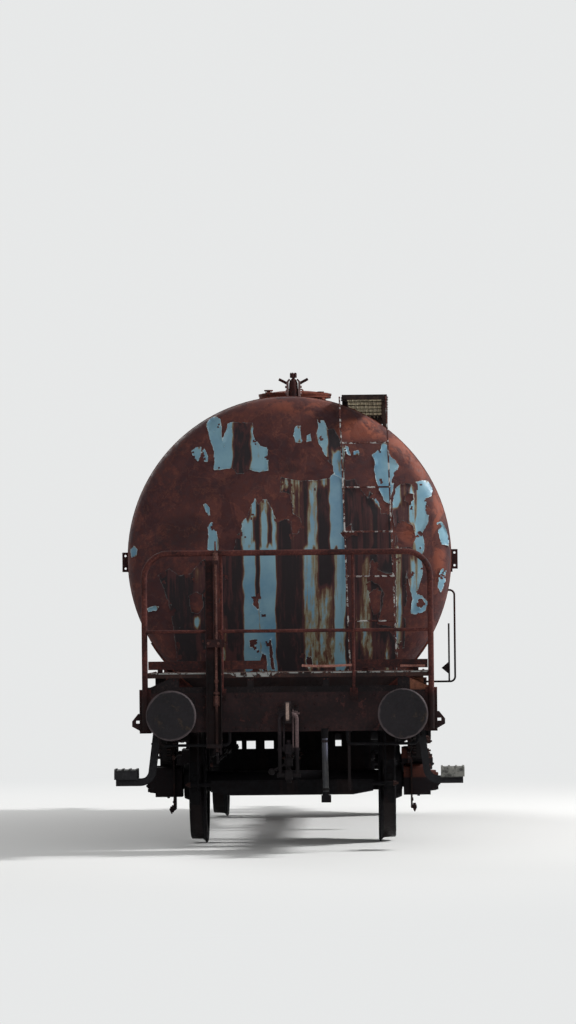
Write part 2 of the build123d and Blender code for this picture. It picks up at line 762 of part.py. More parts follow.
export_step(front_headstock.part, "parts/front_headstock.step")

with BuildPart() as rear_headstock:
    with BuildSketch(along(-frame_width / 2)):
        with BuildLine():
            headstock_profile(1)
        make_face()
    extrude(amount=frame_width)
    with Locations((0, headstock_y, buffer_z)):
        Box(2 * hook_hole, 60, 2 * hook_hole, mode=Mode.SUBTRACT)
    for side in sides.values():
        with BuildSketch(across(rope_hook_y - rope_hook_thickness / 2)):
            with BuildLine():
                rope_hook_outline(side)
            make_face()
            with Locations((side * (frame_width / 2 + 22), rope_hook_z + 12)):
                Rectangle(44, 22, mode=Mode.SUBTRACT)
        extrude(amount=-rope_hook_thickness)
        end_plate_x = (side * (frame_width / 2 - end_plate_thickness), side * frame_width / 2)
        end_plate_y = (headstock_y, headstock_y - headstock_flange)
        block(end_plate_x, end_plate_y, (headstock_bottom, frame_top))
rear_headstock.part.label = "rear_headstock"
export_step(rear_headstock.part, "parts/rear_headstock.step")

# Sole bars: outward facing channels between the headstocks
sole_bar_end = headstock_y - headstock_flange
with BuildPart() as sole_bars:
    for side in sides.values():
        web = side * sole_bar_web_x
        outer = web + side * (sole_bar_web + sole_bar_flange)
        inner = web + side * sole_bar_web
        with BuildSketch(across(-sole_bar_end)):
            with BuildLine():
                Polyline(
                    (web, sole_bar_bottom),
                    (outer, sole_bar_bottom),
                    (outer, sole_bar_bottom + flange_plate),
                    (inner, sole_bar_bottom + flange_plate),
                    (inner, frame_top - flange_plate),
                    (outer, frame_top - flange_plate),
                    (outer, frame_top),
                    (web, frame_top),
                    close=True,
                )
            make_face()
        extrude(amount=-2 * sole_bar_end)
sole_bars.part.label = "sole_bars"
export_step(sole_bars.part, "parts/sole_bars.step")

# Cross members between the sole bars beyond the tank ends, stringers for the draw gear,
# and bearers under the sole bars that carry the saddles and the brake hangers
cross_places = [-headstock_y + 560, headstock_y - 250]
stringer_x = 190
between_webs = (-sole_bar_web_x, sole_bar_web_x)
bearer_x = (-bearer_half_length, bearer_half_length)
with BuildPart() as cross_members:
    for cross_y, end in zip(cross_places, (-1, 1)):
        block(between_webs, (cross_y - 6, cross_y + 6), (sole_bar_bottom, frame_top - 10))
        for flange_z in (sole_bar_bottom, frame_top - 22):
            block(between_webs, (cross_y - 40, cross_y + 40), (flange_z, flange_z + 12))
        for side in sides.values():
            block(
                (side * stringer_x, side * (stringer_x + 12)),
                (cross_y, end * (headstock_y - headstock_web)),
                (headstock_bottom + flange_plate, frame_top - flange_plate),
            )
    for bearer_y in saddle_places:
        block(bearer_x, (bearer_y - 30, bearer_y + 30), (bearer_bottom, sole_bar_bottom))
cross_members.part.label = "cross_members"
export_step(cross_members.part, "parts/cross_members.step")

# Buffer housings: a base plate and a tapered sleeve
housing_length = 355
housing_root_radius = 128
housing_mouth_radius = 112
buffer_plate = 18
buffer_plate_half_width = 165
buffer_plate_half_height = 135
rib_thickness = 16
rib_reach = 150
plunger_radius = 92
buffer_head_radius = 190
buffer_places = [(side * buffer_spacing / 2, end) for side in sides.values() for end in (-1, 1)]
with BuildPart() as buffer_housings:
    for buffer_x, end in buffer_places:
        base = end * headstock_y
        with BuildSketch(Plane(origin=(buffer_x, base, buffer_z), x_dir=(1, 0, 0), z_dir=(0, 0, 1))):
            with BuildLine():
                Polyline(
                    (plunger_radius + running_gap, end * buffer_plate),
                    (plunger_radius + running_gap, end * housing_length),
                    (housing_mouth_radius + 12, end * housing_length),
                    (housing_mouth_radius + 12, end * (housing_length - 36)),
                    (housing_mouth_radius, end * (housing_length - 36)),
                    (housing_root_radius, end * buffer_plate),
                    close=True,
                )
            make_face()
        revolve(axis=Axis((buffer_x, base, buffer_z), (0, 1, 0)))
        with BuildSketch(across(base)):
            with Locations((buffer_x, buffer_z)):
                RectangleRounded(2 * buffer_plate_half_width, 2 * buffer_plate_half_height, 30)
        extrude(amount=-end * buffer_plate)
        for side in sides.values():
            with BuildSketch(level(buffer_z - rib_thickness / 2)):
                with BuildLine():
                    Polyline(
                        (buffer_x + side * (plunger_radius + 20), base + end * buffer_plate),
                        (buffer_x + side * (buffer_plate_half_width - 12), base + end * buffer_plate),
                        (buffer_x + side * housing_root_radius, base + end * rib_reach),
                        (buffer_x + side * (plunger_radius + 20), base + end * rib_reach),
                        close=True,
                    )
                make_face()
            extrude(amount=rib_thickness)
buffer_housings.part.label = "buffer_housings"
export_step(buffer_housings.part, "parts/buffer_housings.step")

# Buffer heads: flat round plates on plungers that enter the housings
with BuildPart() as buffer_heads:
    for buffer_x, end in buffer_places:
        face = end * length_over_buffers / 2
        with BuildSketch(Plane(origin=(buffer_x, face, buffer_z), x_dir=(1, 0, 0), z_dir=(0, 0, 1))):
            with BuildLine():
                Polyline(
                    (0, 0),
                    (buffer_head_radius - 10, 0),
                    (buffer_head_radius, -end * 8),
                    (buffer_head_radius, -end * 24),
                    (plunger_radius + 26, -end * 42),
                    (plunger_radius, -end * 66),
                    (plunger_radius, -end * (buffer_length - housing_length + 120)),
                    (0, -end * (buffer_length - housing_length + 120)),
                    close=True,
                )
            make_face()
        revolve(axis=Axis((buffer_x, face, buffer_z), (0, 1, 0)))
buffer_heads.part.label = "buffer_heads"
export_step(buffer_heads.part, "parts/buffer_heads.step")

# Draw hooks: a forged hook on a square shank that passes through the headstock
hook_thickness = 46
hook_shank = 54
hook_centre = headstock_y + 190
hook_throat = 36
hook_throat_lift = 18
coupling_pin_y = headstock_y + 80
coupling_pin_radius = 14
hook_plate_half = 80
with BuildPart() as draw_hooks:
    for end in (-1, 1):
        with BuildSketch(along(-hook_thickness / 2)):
            with BuildLine():
                Polyline(
                    (end * (headstock_y - 120), buffer_z - hook_shank / 2),
                    (end * (hook_centre - 90), buffer_z - hook_shank / 2),
                    (end * (hook_centre - 50), buffer_z - 66),
                    (end * (hook_centre + 20), buffer_z - 74),
                    (end * (hook_centre + 74), buffer_z - 40),
                    (end * (hook_centre + 92), buffer_z + 20),
                    (end * (hook_centre + 84), buffer_z + 78),
                    (end * (hook_centre + 46), buffer_z + 96),
                    (end * (hook_centre - 50), buffer_z + 46),
                    (end * (hook_centre - 90), buffer_z + hook_shank / 2),
                    (end * (headstock_y - 120), buffer_z + hook_shank / 2),
                    close=True,
                )
            make_face()
            with Locations((end * hook_centre, buffer_z + hook_throat_lift)):
                Circle(hook_throat, mode=Mode.SUBTRACT)
            with Locations((end * (hook_centre - 4), buffer_z + hook_throat_lift)):
                Rectangle(2 * hook_throat - 12, 90, align=(Align.CENTER, Align.MIN), mode=Mode.SUBTRACT)
            with Locations((end * coupling_pin_y, buffer_z)):
                Circle(coupling_pin_radius + seat_gap, mode=Mode.SUBTRACT)
        extrude(amount=hook_thickness)
        with BuildSketch(across(end * (headstock_y + seat_gap))):
            with Locations((0, buffer_z)):
                RectangleRounded(2 * hook_plate_half, 2 * hook_plate_half, 20)
        extrude(amount=-end * 20)
draw_hooks.part.label = "draw_hooks"
export_step(draw_hooks.part, "parts/draw_hooks.step")

# Screw couplings: flat links hang from the pin and carry the upper nut, the screw and the lower nut,
# whose round bow is laid back into the hook's throat
link_inner_x = hook_thickness / 2 + 5
link_thickness = 14
link_radius = 24
bow_half_width = 66
bow_radius = 14
bow_corner = 38
bow_rest_z = buffer_z + hook_throat_lift - hook_throat + bow_radius + seat_gap
upper_nut_z = rail_top + 757
lower_nut_z = rail_top + 560
nut_half_height = 36
screw_radius = 17
lever_end = (-130, 72)
with BuildPart() as screw_couplings:
    for end in (-1, 1):
        pin_y = end * coupling_pin_y
        pin_reach = link_inner_x + link_thickness + 10
        rod((-pin_reach, pin_y, buffer_z), (pin_reach, pin_y, buffer_z), coupling_pin_radius)
        for side in sides.values():
            with BuildSketch(along(side * (link_inner_x + link_thickness / 2) - link_thickness / 2)):
                with Locations((pin_y, (buffer_z + upper_nut_z) / 2)):
                    SlotCenterToCenter(buffer_z - upper_nut_z, 2 * link_radius, rotation=90)
            extrude(amount=link_thickness)
        for nut_z in (upper_nut_z, lower_nut_z):
            with BuildSketch(level(nut_z - nut_half_height)):
                with Locations((0, pin_y)):
                    RectangleRounded(2 * link_inner_x, 66, 10)
            extrude(amount=2 * nut_half_height)
        rod((-pin_reach, pin_y, upper_nut_z), (pin_reach, pin_y, upper_nut_z), 18)
        rod((-bow_half_width - 20, pin_y, lower_nut_z), (bow_half_width + 20, pin_y, lower_nut_z), 18)
        rod((0, pin_y, lower_nut_z - 60), (0, pin_y, upper_nut_z + 70), screw_radius)
        lever_z = (upper_nut_z + lower_nut_z) / 2
        rod((0, pin_y, lever_z - 26), (0, pin_y, lever_z + 26), 32)
        rod((0, pin_y, lever_z), (lever_end[0], pin_y, lever_z - lever_end[1]), 10)
        with Locations((lever_end[0], pin_y, lever_z - lever_end[1])):
            Sphere(26)
        with BuildLine() as bow_line:
            FilletPolyline(
                (-bow_half_width, pin_y, lower_nut_z),
                (-bow_half_width, end * hook_centre, bow_rest_z),
                (bow_half_width, end * hook_centre, bow_rest_z),
                (bow_half_width, pin_y, lower_nut_z),
                radius=bow_corner,
            )
        with BuildSketch(Plane(origin=bow_line.line @ 0, z_dir=bow_line.line % 0)) as bow_section:
            Circle(bow_radius)
        sweep(bow_section.sketch, path=bow_line.line)
screw_couplings.part.label = "screw_couplings"
export_step(screw_couplings.part, "parts/screw_couplings.step")

# Axles, one profile for both
# Columns: distance from the middle, radius from there outwards
axle_steps = [
    (0, axle_radius),
    (flange_back + 10, wheel_seat_radius),
    (flange_back + 10 + hub_length, journal_radius + 16),
    (journal_start, journal_radius),
    (journal_end, journal_radius),
]


def axle_at(axle_y):
    """Axle across the track at axle_y, stepped from the journals to the wheel seats."""
    outline = []
    for (start, radius), (end, _) in zip(axle_steps, axle_steps[1:]):
        outline += [(start, radius), (end, radius)]
    mirrored = [(-x, radius) for x, radius in reversed(outline)]
    with BuildPart() as axle:
        with BuildSketch(Plane(origin=(0, axle_y, axle_z), x_dir=(1, 0, 0), z_dir=(0, -1, 0))):
            with BuildLine():
                Polyline((-journal_end, 0), *mirrored[:-1], *outline[1:], (journal_end, 0), close=True)
            make_face()
        revolve(axis=Axis((0, axle_y, axle_z), (1, 0, 0)))
    return axle


def wheel_at(axle_y, side):
    """Disc wheel with its flange towards the middle, on the given side of the axle."""
    back = side * flange_back
    face = side * (flange_back + rim_width)
    hub_start = side * (flange_back + 10)
    hub_end = side * (flange_back + 10 + hub_length)
    web = side * (flange_back + 10 + hub_length / 2)
    rim_bottom = tread_radius - rim_depth
    with BuildPart() as wheel:
        with BuildSketch(Plane(origin=(0, axle_y, axle_z), x_dir=(1, 0, 0), z_dir=(0, -1, 0))):
            with BuildLine():
                Polyline(
                    (hub_start, wheel_seat_radius),
                    (hub_start, hub_radius),
                    (web - side * web_thickness / 2, hub_radius + 30),
                    (side * (flange_back + 50), rim_bottom - 14),
                    (back, rim_bottom),
                    (back, tread_radius + 12),
                    (back + side * 9, tread_radius + flange_height),
                    (back + side * 18, tread_radius + flange_height),
                    (back + side * 30, tread_radius + 10),
                    (back + side * 44, tread_radius),
                    (face - side * 6, tread_radius - 4),
                    (face, tread_radius - 10),
                    (face, rim_bottom),
                    (side * (flange_back + 50 + web_thickness), rim_bottom - 14),
                    (web + side * web_thickness / 2, hub_radius + 30),
                    (hub_end, hub_radius),
                    (hub_end, wheel_seat_radius),
                    close=True,
                )
            make_face()
        revolve(axis=Axis((0, axle_y, axle_z), (1, 0, 0)))
    return wheel


front_axle = axle_at(front_axle_y)
front_axle.part.label = "front_axle"
export_step(front_axle.part, "parts/front_axle.step")

rear_axle = axle_at(rear_axle_y)
rear_axle.part.label = "rear_axle"
export_step(rear_axle.part, "parts/rear_axle.step")

for axle_name, axle_y in axle_places.items():
    for side_name, side in sides.items():
        wheel = wheel_at(axle_y, side)
        wheel.part.label = f"{axle_name}_{side_name}_wheel"
        export_step(wheel.part, f"parts/{axle_name}_{side_name}_wheel.step")

# Axle boxes: a cast body with rounded corners, a flanged front cover with an oil lid,
# a blind bore for the journal and grooves for the guard plates
box_inner_x = 882
box_outer_x = 1096
box_width = 290
box_height = 240
box_corner = 34
cover_reach = 44
lid_reach = 24
guard_thickness = 14
guard_x = sole_bar_web_x - guard_thickness
groove_depth = 26
box_places = [(side, axle_y) for side in sides.values() for axle_y in axle_places.values()]
with BuildPart() as axle_boxes:
    for side, axle_y in box_places:
        with BuildSketch(along(side * box_inner_x)):
            with Locations((axle_y, axle_z)):
                RectangleRounded(box_width, box_height, box_corner)
            with Locations((axle_y, axle_z + box_height / 2 - box_corner)):
                Rectangle(box_width - 120, box_corner, align=(Align.CENTER, Align.MIN))
        extrude(amount=side * (box_outer_x - box_inner_x))
        with BuildSketch(along(side * box_outer_x)):
            with Locations((axle_y, axle_z - 8)):
                RectangleRounded(box_width - 36, box_height - 76, box_corner)
        extrude(amount=side * cover_reach, taper=6)
        with BuildSketch(along(side * (box_outer_x + cover_reach))):
            with Locations((axle_y, axle_z - 14)):
                RectangleRounded(120, 84, 18)
        extrude(amount=side * lid_reach, taper=12)
        for edge in (-1, 1):
            block(
                (side * (guard_x - 1), side * (guard_x + guard_thickness + 1)),
                (axle_y + edge * (box_width / 2 - groove_depth), axle_y + edge * (box_width / 2 + 5)),
                (axle_z - box_height / 2, axle_z + box_height / 2),
                mode=Mode.SUBTRACT,
            )
        rod(
            (side * (box_inner_x - 5), axle_y, axle_z),
            (side * (journal_end + 6), axle_y, axle_z),
            journal_radius + running_gap,
            mode=Mode.SUBTRACT,
        )
axle_boxes.part.label = "axle_boxes"
export_step(axle_boxes.part, "parts/axle_boxes.step")

# Axle guards: plates on the sole bar webs with a horn gap for the axle box
horn_half_gap = box_width / 2 - groove_depth + 2
guard_bottom = rail_top + 250
guard_leg = 60
guard_tie = 40
guard_foot = 46
guard_window_y = 260
guard_window_radius = 62
horn_rise = 330
with BuildPart() as axle_guards:
    for side, axle_y in box_places:
        with BuildSketch(along(side * guard_x)):
            with BuildLine():
                Polyline(
                    (axle_y - guard_half_width, frame_top - 30),
                    (axle_y - guard_half_width, sole_bar_bottom - 40),
                    (axle_y - horn_half_gap - guard_leg, axle_z + 90),
                    (axle_y - horn_half_gap - guard_leg, guard_bottom),
                    (axle_y + horn_half_gap + guard_leg, guard_bottom),
                    (axle_y + horn_half_gap + guard_leg, axle_z + 90),
                    (axle_y + guard_half_width, sole_bar_bottom - 40),
                    (axle_y + guard_half_width, frame_top - 30),
                    close=True,
                )
            make_face()
            with Locations((axle_y, guard_bottom + guard_tie)):
                horn_top = axle_z + horn_rise
                Rectangle(
                    2 * horn_half_gap,
                    horn_top - guard_bottom - guard_tie,
                    align=(Align.CENTER, Align.MIN),
                    mode=Mode.SUBTRACT,
                )
            with Locations((axle_y - guard_window_y, horn_top), (axle_y + guard_window_y, horn_top)):
                Circle(guard_window_radius, mode=Mode.SUBTRACT)
        extrude(amount=side * (guard_thickness - seat_gap))
        foot_x = (side * guard_x, side * (guard_x + guard_foot))
        foot_y = (axle_y - horn_half_gap - guard_leg, axle_y + horn_half_gap + guard_leg)
        block(foot_x, foot_y, (guard_bottom - guard_thickness, guard_bottom))
axle_guards.part.label = "axle_guards"
export_step(axle_guards.part, "parts/axle_guards.step")

# Leaf springs: stepped packs of arched leaves held by a buckle on the axle box
leaf_count = 8
leaf_thickness = 12
leaf_width = 90
spring_half_span = 560
spring_camber = 70
spring_x = 1003
shortest_leaf = 190
spring_bottom = axle_z + box_height / 2 + 24
arc_radius = (spring_half_span**2 + spring_camber**2) / (2 * spring_camber)
eye_radius = 26
buckle_width = 92
with BuildPart() as leaf_springs:
    for side, axle_y in box_places:
        centre_z = spring_bottom + leaf_count * leaf_thickness + arc_radius
        near_face = side * spring_x - leaf_width / 2
        with BuildSketch(along(near_face)):
            for index in range(leaf_count):
                share = (leaf_count - 1 - index) / (leaf_count - 1)
                half_span = spring_half_span - (spring_half_span - shortest_leaf) * (1 - share)
                upper = arc_radius + index * leaf_thickness
                lower = upper + leaf_thickness
                angle = degrees(half_span / arc_radius)
                with BuildLine():
                    top = CenterArc((axle_y, centre_z), upper, 270 - angle, 2 * angle)
                    bottom = CenterArc((axle_y, centre_z), lower, 270 - angle, 2 * angle)
                    Line(top @ 0, bottom @ 0)
                    Line(top @ 1, bottom @ 1)
                make_face()
            for edge in (-1, 1):
                eye_y = axle_y + edge * (spring_half_span + 10)
                with Locations((eye_y, centre_z - arc_radius + spring_camber + 6)):
                    Circle(eye_radius)
                    Circle(13, mode=Mode.SUBTRACT)
        extrude(amount=leaf_width)
        block(
            (near_face - 12, near_face + leaf_width + 12),
            (axle_y - buckle_width / 2, axle_y + buckle_width / 2),
            (axle_z + box_height / 2, spring_bottom + leaf_count * leaf_thickness + 14),
        )
leaf_springs.part.label = "leaf_springs"
export_step(leaf_springs.part, "parts/leaf_springs.step")

# Spring shackles and the brackets on the sole bars that they hang from
eye_z = spring_bottom + leaf_count * leaf_thickness + spring_camber + 6
shackle_drop = 105
shackle_reach = 85
with BuildPart() as spring_shackles:
    for side, axle_y in box_places:
        for edge in (-1, 1):
            eye_y = axle_y + edge * (spring_half_span + 10)
            pin_start = side * spring_x - leaf_width / 2 - 22
            pin_end = side * spring_x + leaf_width / 2 + 22
            rod((pin_start, eye_y, eye_z), (pin_end, eye_y, eye_z), 13 - seat_gap)
            low_y = eye_y + edge * shackle_reach
            rod((pin_start, low_y, eye_z - shackle_drop), (pin_end, low_y, eye_z - shackle_drop), 13)
            for plate_x in (pin_start + 3, pin_end - 15):
                with BuildSketch(along(plate_x)):
                    with BuildLine():
                        Polyline(
                            (eye_y - 22, eye_z + 18),
                            (eye_y + 22, eye_z + 18),
                            (low_y + 22, eye_z - shackle_drop - 18),
                            (low_y - 22, eye_z - shackle_drop - 18),
                            close=True,
                        )
                    make_face()
                extrude(amount=12)
            with BuildSketch(along(side * spring_x - 24)):
                with BuildLine():
                    Polyline(
                        (low_y - 26, eye_z - shackle_drop - 28),
                        (low_y + 26, eye_z - shackle_drop - 28),
                        (low_y + edge * 60 + 60, sole_bar_bottom),
                        (low_y + edge * 60 - 60, sole_bar_bottom),
                        close=True,
                    )
                make_face()
            extrude(amount=48)
spring_shackles.part.label = "spring_shackles"
export_step(spring_shackles.part, "parts/spring_shackles.step")

# Brake blocks and their holders, two to a wheel, hung clear of the treads
block_width = 84
block_x = flange_back + 44 + block_width / 2
block_inner_radius = tread_radius + shoe_gap
block_outer_radius = block_inner_radius + 52
block_half_angle = 19
shoe_pin_radius = 17
beam_offset = block_outer_radius + 72
brake_places = [(side, axle_y, edge) for side, axle_y in box_places for edge in (-1, 1)]
with BuildPart() as brake_blocks:
    for side, axle_y, edge in brake_places:
        start_angle = (180 if edge < 0 else 0) - block_half_angle
        with BuildSketch(along(side * block_x - block_width / 2)):
            with BuildLine():
                inner = CenterArc((axle_y, axle_z), block_inner_radius, start_angle, 2 * block_half_angle)
                outer = CenterArc((axle_y, axle_z), block_outer_radius, start_angle, 2 * block_half_angle)
                Line(inner @ 0, outer @ 0)
                Line(inner @ 1, outer @ 1)
            make_face()
        extrude(amount=block_width)
        lug_start = axle_y + edge * (block_outer_radius - 6)
        lug_end = axle_y + edge * (beam_offset - shoe_pin_radius - seat_gap)
        block((side * block_x - 20, side * block_x + 20), (lug_start, lug_end), (axle_z - 60, axle_z + 60))
brake_blocks.part.label = "brake_blocks"
export_step(brake_blocks.part, "parts/brake_blocks.step")

# Brake beams across the wagon with their hangers
beam_height = 116
beam_end_height = 60
beam_half_length = 640
beam_thickness = 22
beam_z = rail_top + 422
with BuildPart() as brake_beams:
    for axle_y in axle_places.values():
        for edge in (-1, 1):
            beam_y = axle_y + edge * beam_offset
            with BuildSketch(across(beam_y - beam_thickness / 2)):
                with BuildLine():
                    Polyline(
                        (-beam_half_length, beam_z + beam_height / 2),
                        (beam_half_length, beam_z + beam_height / 2),
                        (beam_half_length, beam_z - beam_end_height / 2),
                        (beam_half_length - 160, beam_z - beam_height / 2),
                        (160 - beam_half_length, beam_z - beam_height / 2),
                        (-beam_half_length, beam_z - beam_end_height / 2),
                        close=True,
                    )
                make_face()
            extrude(amount=-beam_thickness)
            for side in sides.values():
                pin_start = (side * (beam_half_length - 10), beam_y, axle_z - 10)
                pin_end = (side * (block_x + 34), beam_y, axle_z - 10)
                rod(pin_start, pin_end, shoe_pin_radius)
                block(
                    (side * (block_x - 34), side * (block_x - 22)),
                    (beam_y - 25, beam_y + 25),
                    (axle_z - 40, bearer_bottom),
                )
brake_beams.part.label = "brake_beams"
export_step(brake_beams.part, "parts/brake_beams.step")

# Main brake pipe under the frame, with a cock at each end
pipe_radius = 17
pipe_z = rail_top + 868
cock_x = 277
cock_y = -headstock_y - 70
cock_bottom = rail_top + 838
with BuildPart() as brake_pipe:
    with BuildLine() as pipe_line:
        FilletPolyline(
            (cock_x, cock_y, pipe_z),
            (cock_x, 3350, pipe_z),
            (-cock_x, 3900, pipe_z),
            (-cock_x, -cock_y, pipe_z),
            radius=120,
        )
    with BuildSketch(Plane(origin=pipe_line.line @ 0, z_dir=pipe_line.line % 0)):
        Circle(pipe_radius)
    sweep()
    for end in (-1, 1):
        with Locations((-end * cock_x, -end * cock_y, cock_bottom)):
            Cylinder(27, 74, align=upwards)
    for clip_y in saddle_places[:4]:
        block((cock_x - 14, cock_x + 14), (clip_y - 12, clip_y + 12), (pipe_z, bearer_bottom))
    for end in (-1, 1):
        block(
            (-end * cock_x - 14, -end * cock_x + 14),
            (end * (headstock_y - 60), end * (headstock_y - 30)),
            (pipe_z, headstock_bottom),
        )
brake_pipe.part.label = "brake_pipe"
export_step(brake_pipe.part, "parts/brake_pipe.step")

# Brake hose at the platform end, hanging from its cock
hose_radius = 20
hose_route = [
    (277, -4350, 866),
    (277, -4350, 764),
    (278, -4354, 660),
    (280, -4362, 556),
    (283, -4373, 456),
]
hose_radii = []
for before, corner, after in zip(hose_route, hose_route[1:], hose_route[2:]):
    run_in = Vector(*corner) - Vector(*before)
    run_out = Vector(*after) - Vector(*corner)
    turn = run_in.get_angle(run_out)
    hose_radii.append(0.45 * min(run_in.length, run_out.length) / tan(radians(turn / 2)))
with BuildPart() as brake_hose:
    with BuildLine() as hose_line:
        FilletPolyline(*hose_route, radius=hose_radii)
    with BuildSketch(Plane(origin=hose_line.line @ 0, z_dir=hose_line.line % 0)):
        Circle(hose_radius)
    sweep()
brake_hose.part.label = "brake_hose"
export_step(brake_hose.part, "parts/brake_hose.step")

# Coupling head at the hose's lower end
hose_end = Vector(*hose_route[-1])
hose_end_direction = hose_line.line % 1
with BuildPart() as hose_coupling:
    with BuildSketch(Plane(origin=hose_end, z_dir=hose_end_direction)):
        Circle(hose_radius + 6)
    extrude(amount=60)
    with Locations((hose_end + hose_end_direction * 52)):
        Box(74, 50, 56)
hose_coupling.part.label = "hose_coupling"
export_step(hose_coupling.part, "parts/hose_coupling.step")

# Brake cylinder and air reservoir, hung under the frame from gussets on the sole bar webs
cylinder_x = 600
cylinder_front_y = 560
cylinder_length = 420
cylinder_radius = 150
cylinder_z = rail_top + 750
cylinder_front = (cylinder_x, cylinder_front_y, cylinder_z)
cover_radius = cylinder_radius + 22
trunk_radius = 34
piston_rod_radius = 18
reservoir_x = -705
reservoir_y = (-1300, -500)
reservoir_radius = 140
reservoir_z = rail_top + 760
strap_thickness = 12
with BuildPart() as brake_cylinder:
    with BuildSketch(Plane(origin=cylinder_front, x_dir=(1, 0, 0), z_dir=(0, 0, 1))):
        with BuildLine():
            Polyline(
                (0, -200),
                (trunk_radius, -200),
                (trunk_radius, -60),
                (cylinder_radius - 40, -24),
                (cover_radius, -24),
                (cover_radius, 0),
                (cylinder_radius, 12),
                (cylinder_radius, cylinder_length - 60),
                (cylinder_radius - 46, cylinder_length),
                (0, cylinder_length),
                close=True,
            )
        make_face()
    revolve(axis=Axis(cylinder_front, (0, 1, 0)))
    rod_start = (cylinder_x, cylinder_front_y - 190, cylinder_z)
    rod(rod_start, (cylinder_x, brake_shaft_y + 24, cylinder_z), piston_rod_radius)
    for strap_y in (cylinder_front_y + 90, cylinder_front_y + cylinder_length - 90):
        strap_x = (cylinder_x - 60, sole_bar_web_x - seat_gap)
        block(strap_x, (strap_y, strap_y + strap_thickness), (cylinder_z, sole_bar_bottom + 90))
brake_cylinder.part.label = "brake_cylinder"
export_step(brake_cylinder.part, "parts/brake_cylinder.step")

with BuildPart() as air_reservoir:
    reservoir_ends = [(reservoir_x, end_y, reservoir_z) for end_y in reservoir_y]
    rod(*reservoir_ends, reservoir_radius)
    fillet(air_reservoir.edges(), 40)
    for strap_y in (reservoir_y[0] + 150, reservoir_y[1] - 150):
        strap_x = (-sole_bar_web_x + seat_gap, reservoir_x + 60)
        block(strap_x, (strap_y, strap_y + strap_thickness), (reservoir_z, sole_bar_bottom + 90))
air_reservoir.part.label = "air_reservoir"
export_step(air_reservoir.part, "parts/air_reservoir.step")

# Bottom outlet: a sump under the tank and a cross pipe with a mouth on each side
outlet_y = tank_centre_y - 500
outlet_z = rail_top + 780
outlet_radius = 57
outlet_bore_radius = 50
outlet_mouth_x = 1120
outlet_flange_radius = 92
outlet_flange_thickness = 20
outlet_bore_depth = 160
with BuildPart() as outlet_pipe:
    with BuildSketch(level(outlet_z)):
        with Locations((0, outlet_y)):
            Circle(90)
    extrude(amount=tank_bottom + 60 - outlet_z)
    with Locations((0, outlet_y, tank_z)):
        Cylinder(tank_radius + seat_gap, 600, rotation=(90, 0, 0), mode=Mode.SUBTRACT)
    rod((-outlet_mouth_x, outlet_y, outlet_z), (outlet_mouth_x, outlet_y, outlet_z), outlet_radius)
    for side in sides.values():
        mouth = (side * outlet_mouth_x, outlet_y, outlet_z)
        flange_back_face = (side * (outlet_mouth_x - outlet_flange_thickness), outlet_y, outlet_z)
        bore_end = (side * (outlet_mouth_x - outlet_bore_depth), outlet_y, outlet_z)
        rod(mouth, flange_back_face, outlet_flange_radius)
        rod((side * 780, outlet_y, outlet_z), (side * 900, outlet_y, outlet_z), 88)
        rod(mouth, bore_end, outlet_bore_radius, mode=Mode.SUBTRACT)
outlet_pipe.part.label = "outlet_pipe"
export_step(outlet_pipe.part, "parts/outlet_pipe.step")

# Hand wheels of the two side outlet valves
with BuildPart() as outlet_valves:
    for side in sides.values():
        valve_x = side * 840
        rod((valve_x, outlet_y - 88.3, outlet_z), (valve_x, outlet_y - 190, outlet_z), 16)
        with Locations(Plane(origin=(valve_x, outlet_y - 190, outlet_z), z_dir=(0, 1, 0)).location):
            Torus(80, 9)
        block((valve_x - 76, valve_x + 76), (outlet_y - 194, outlet_y - 186), (outlet_z - 6, outlet_z + 6))
        block((valve_x - 6, valve_x + 6), (outlet_y - 194, outlet_y - 186), (outlet_z - 76, outlet_z + 76))
outlet_valves.part.label = "outlet_valves"
export_step(outlet_valves.part, "parts/outlet_valves.step")

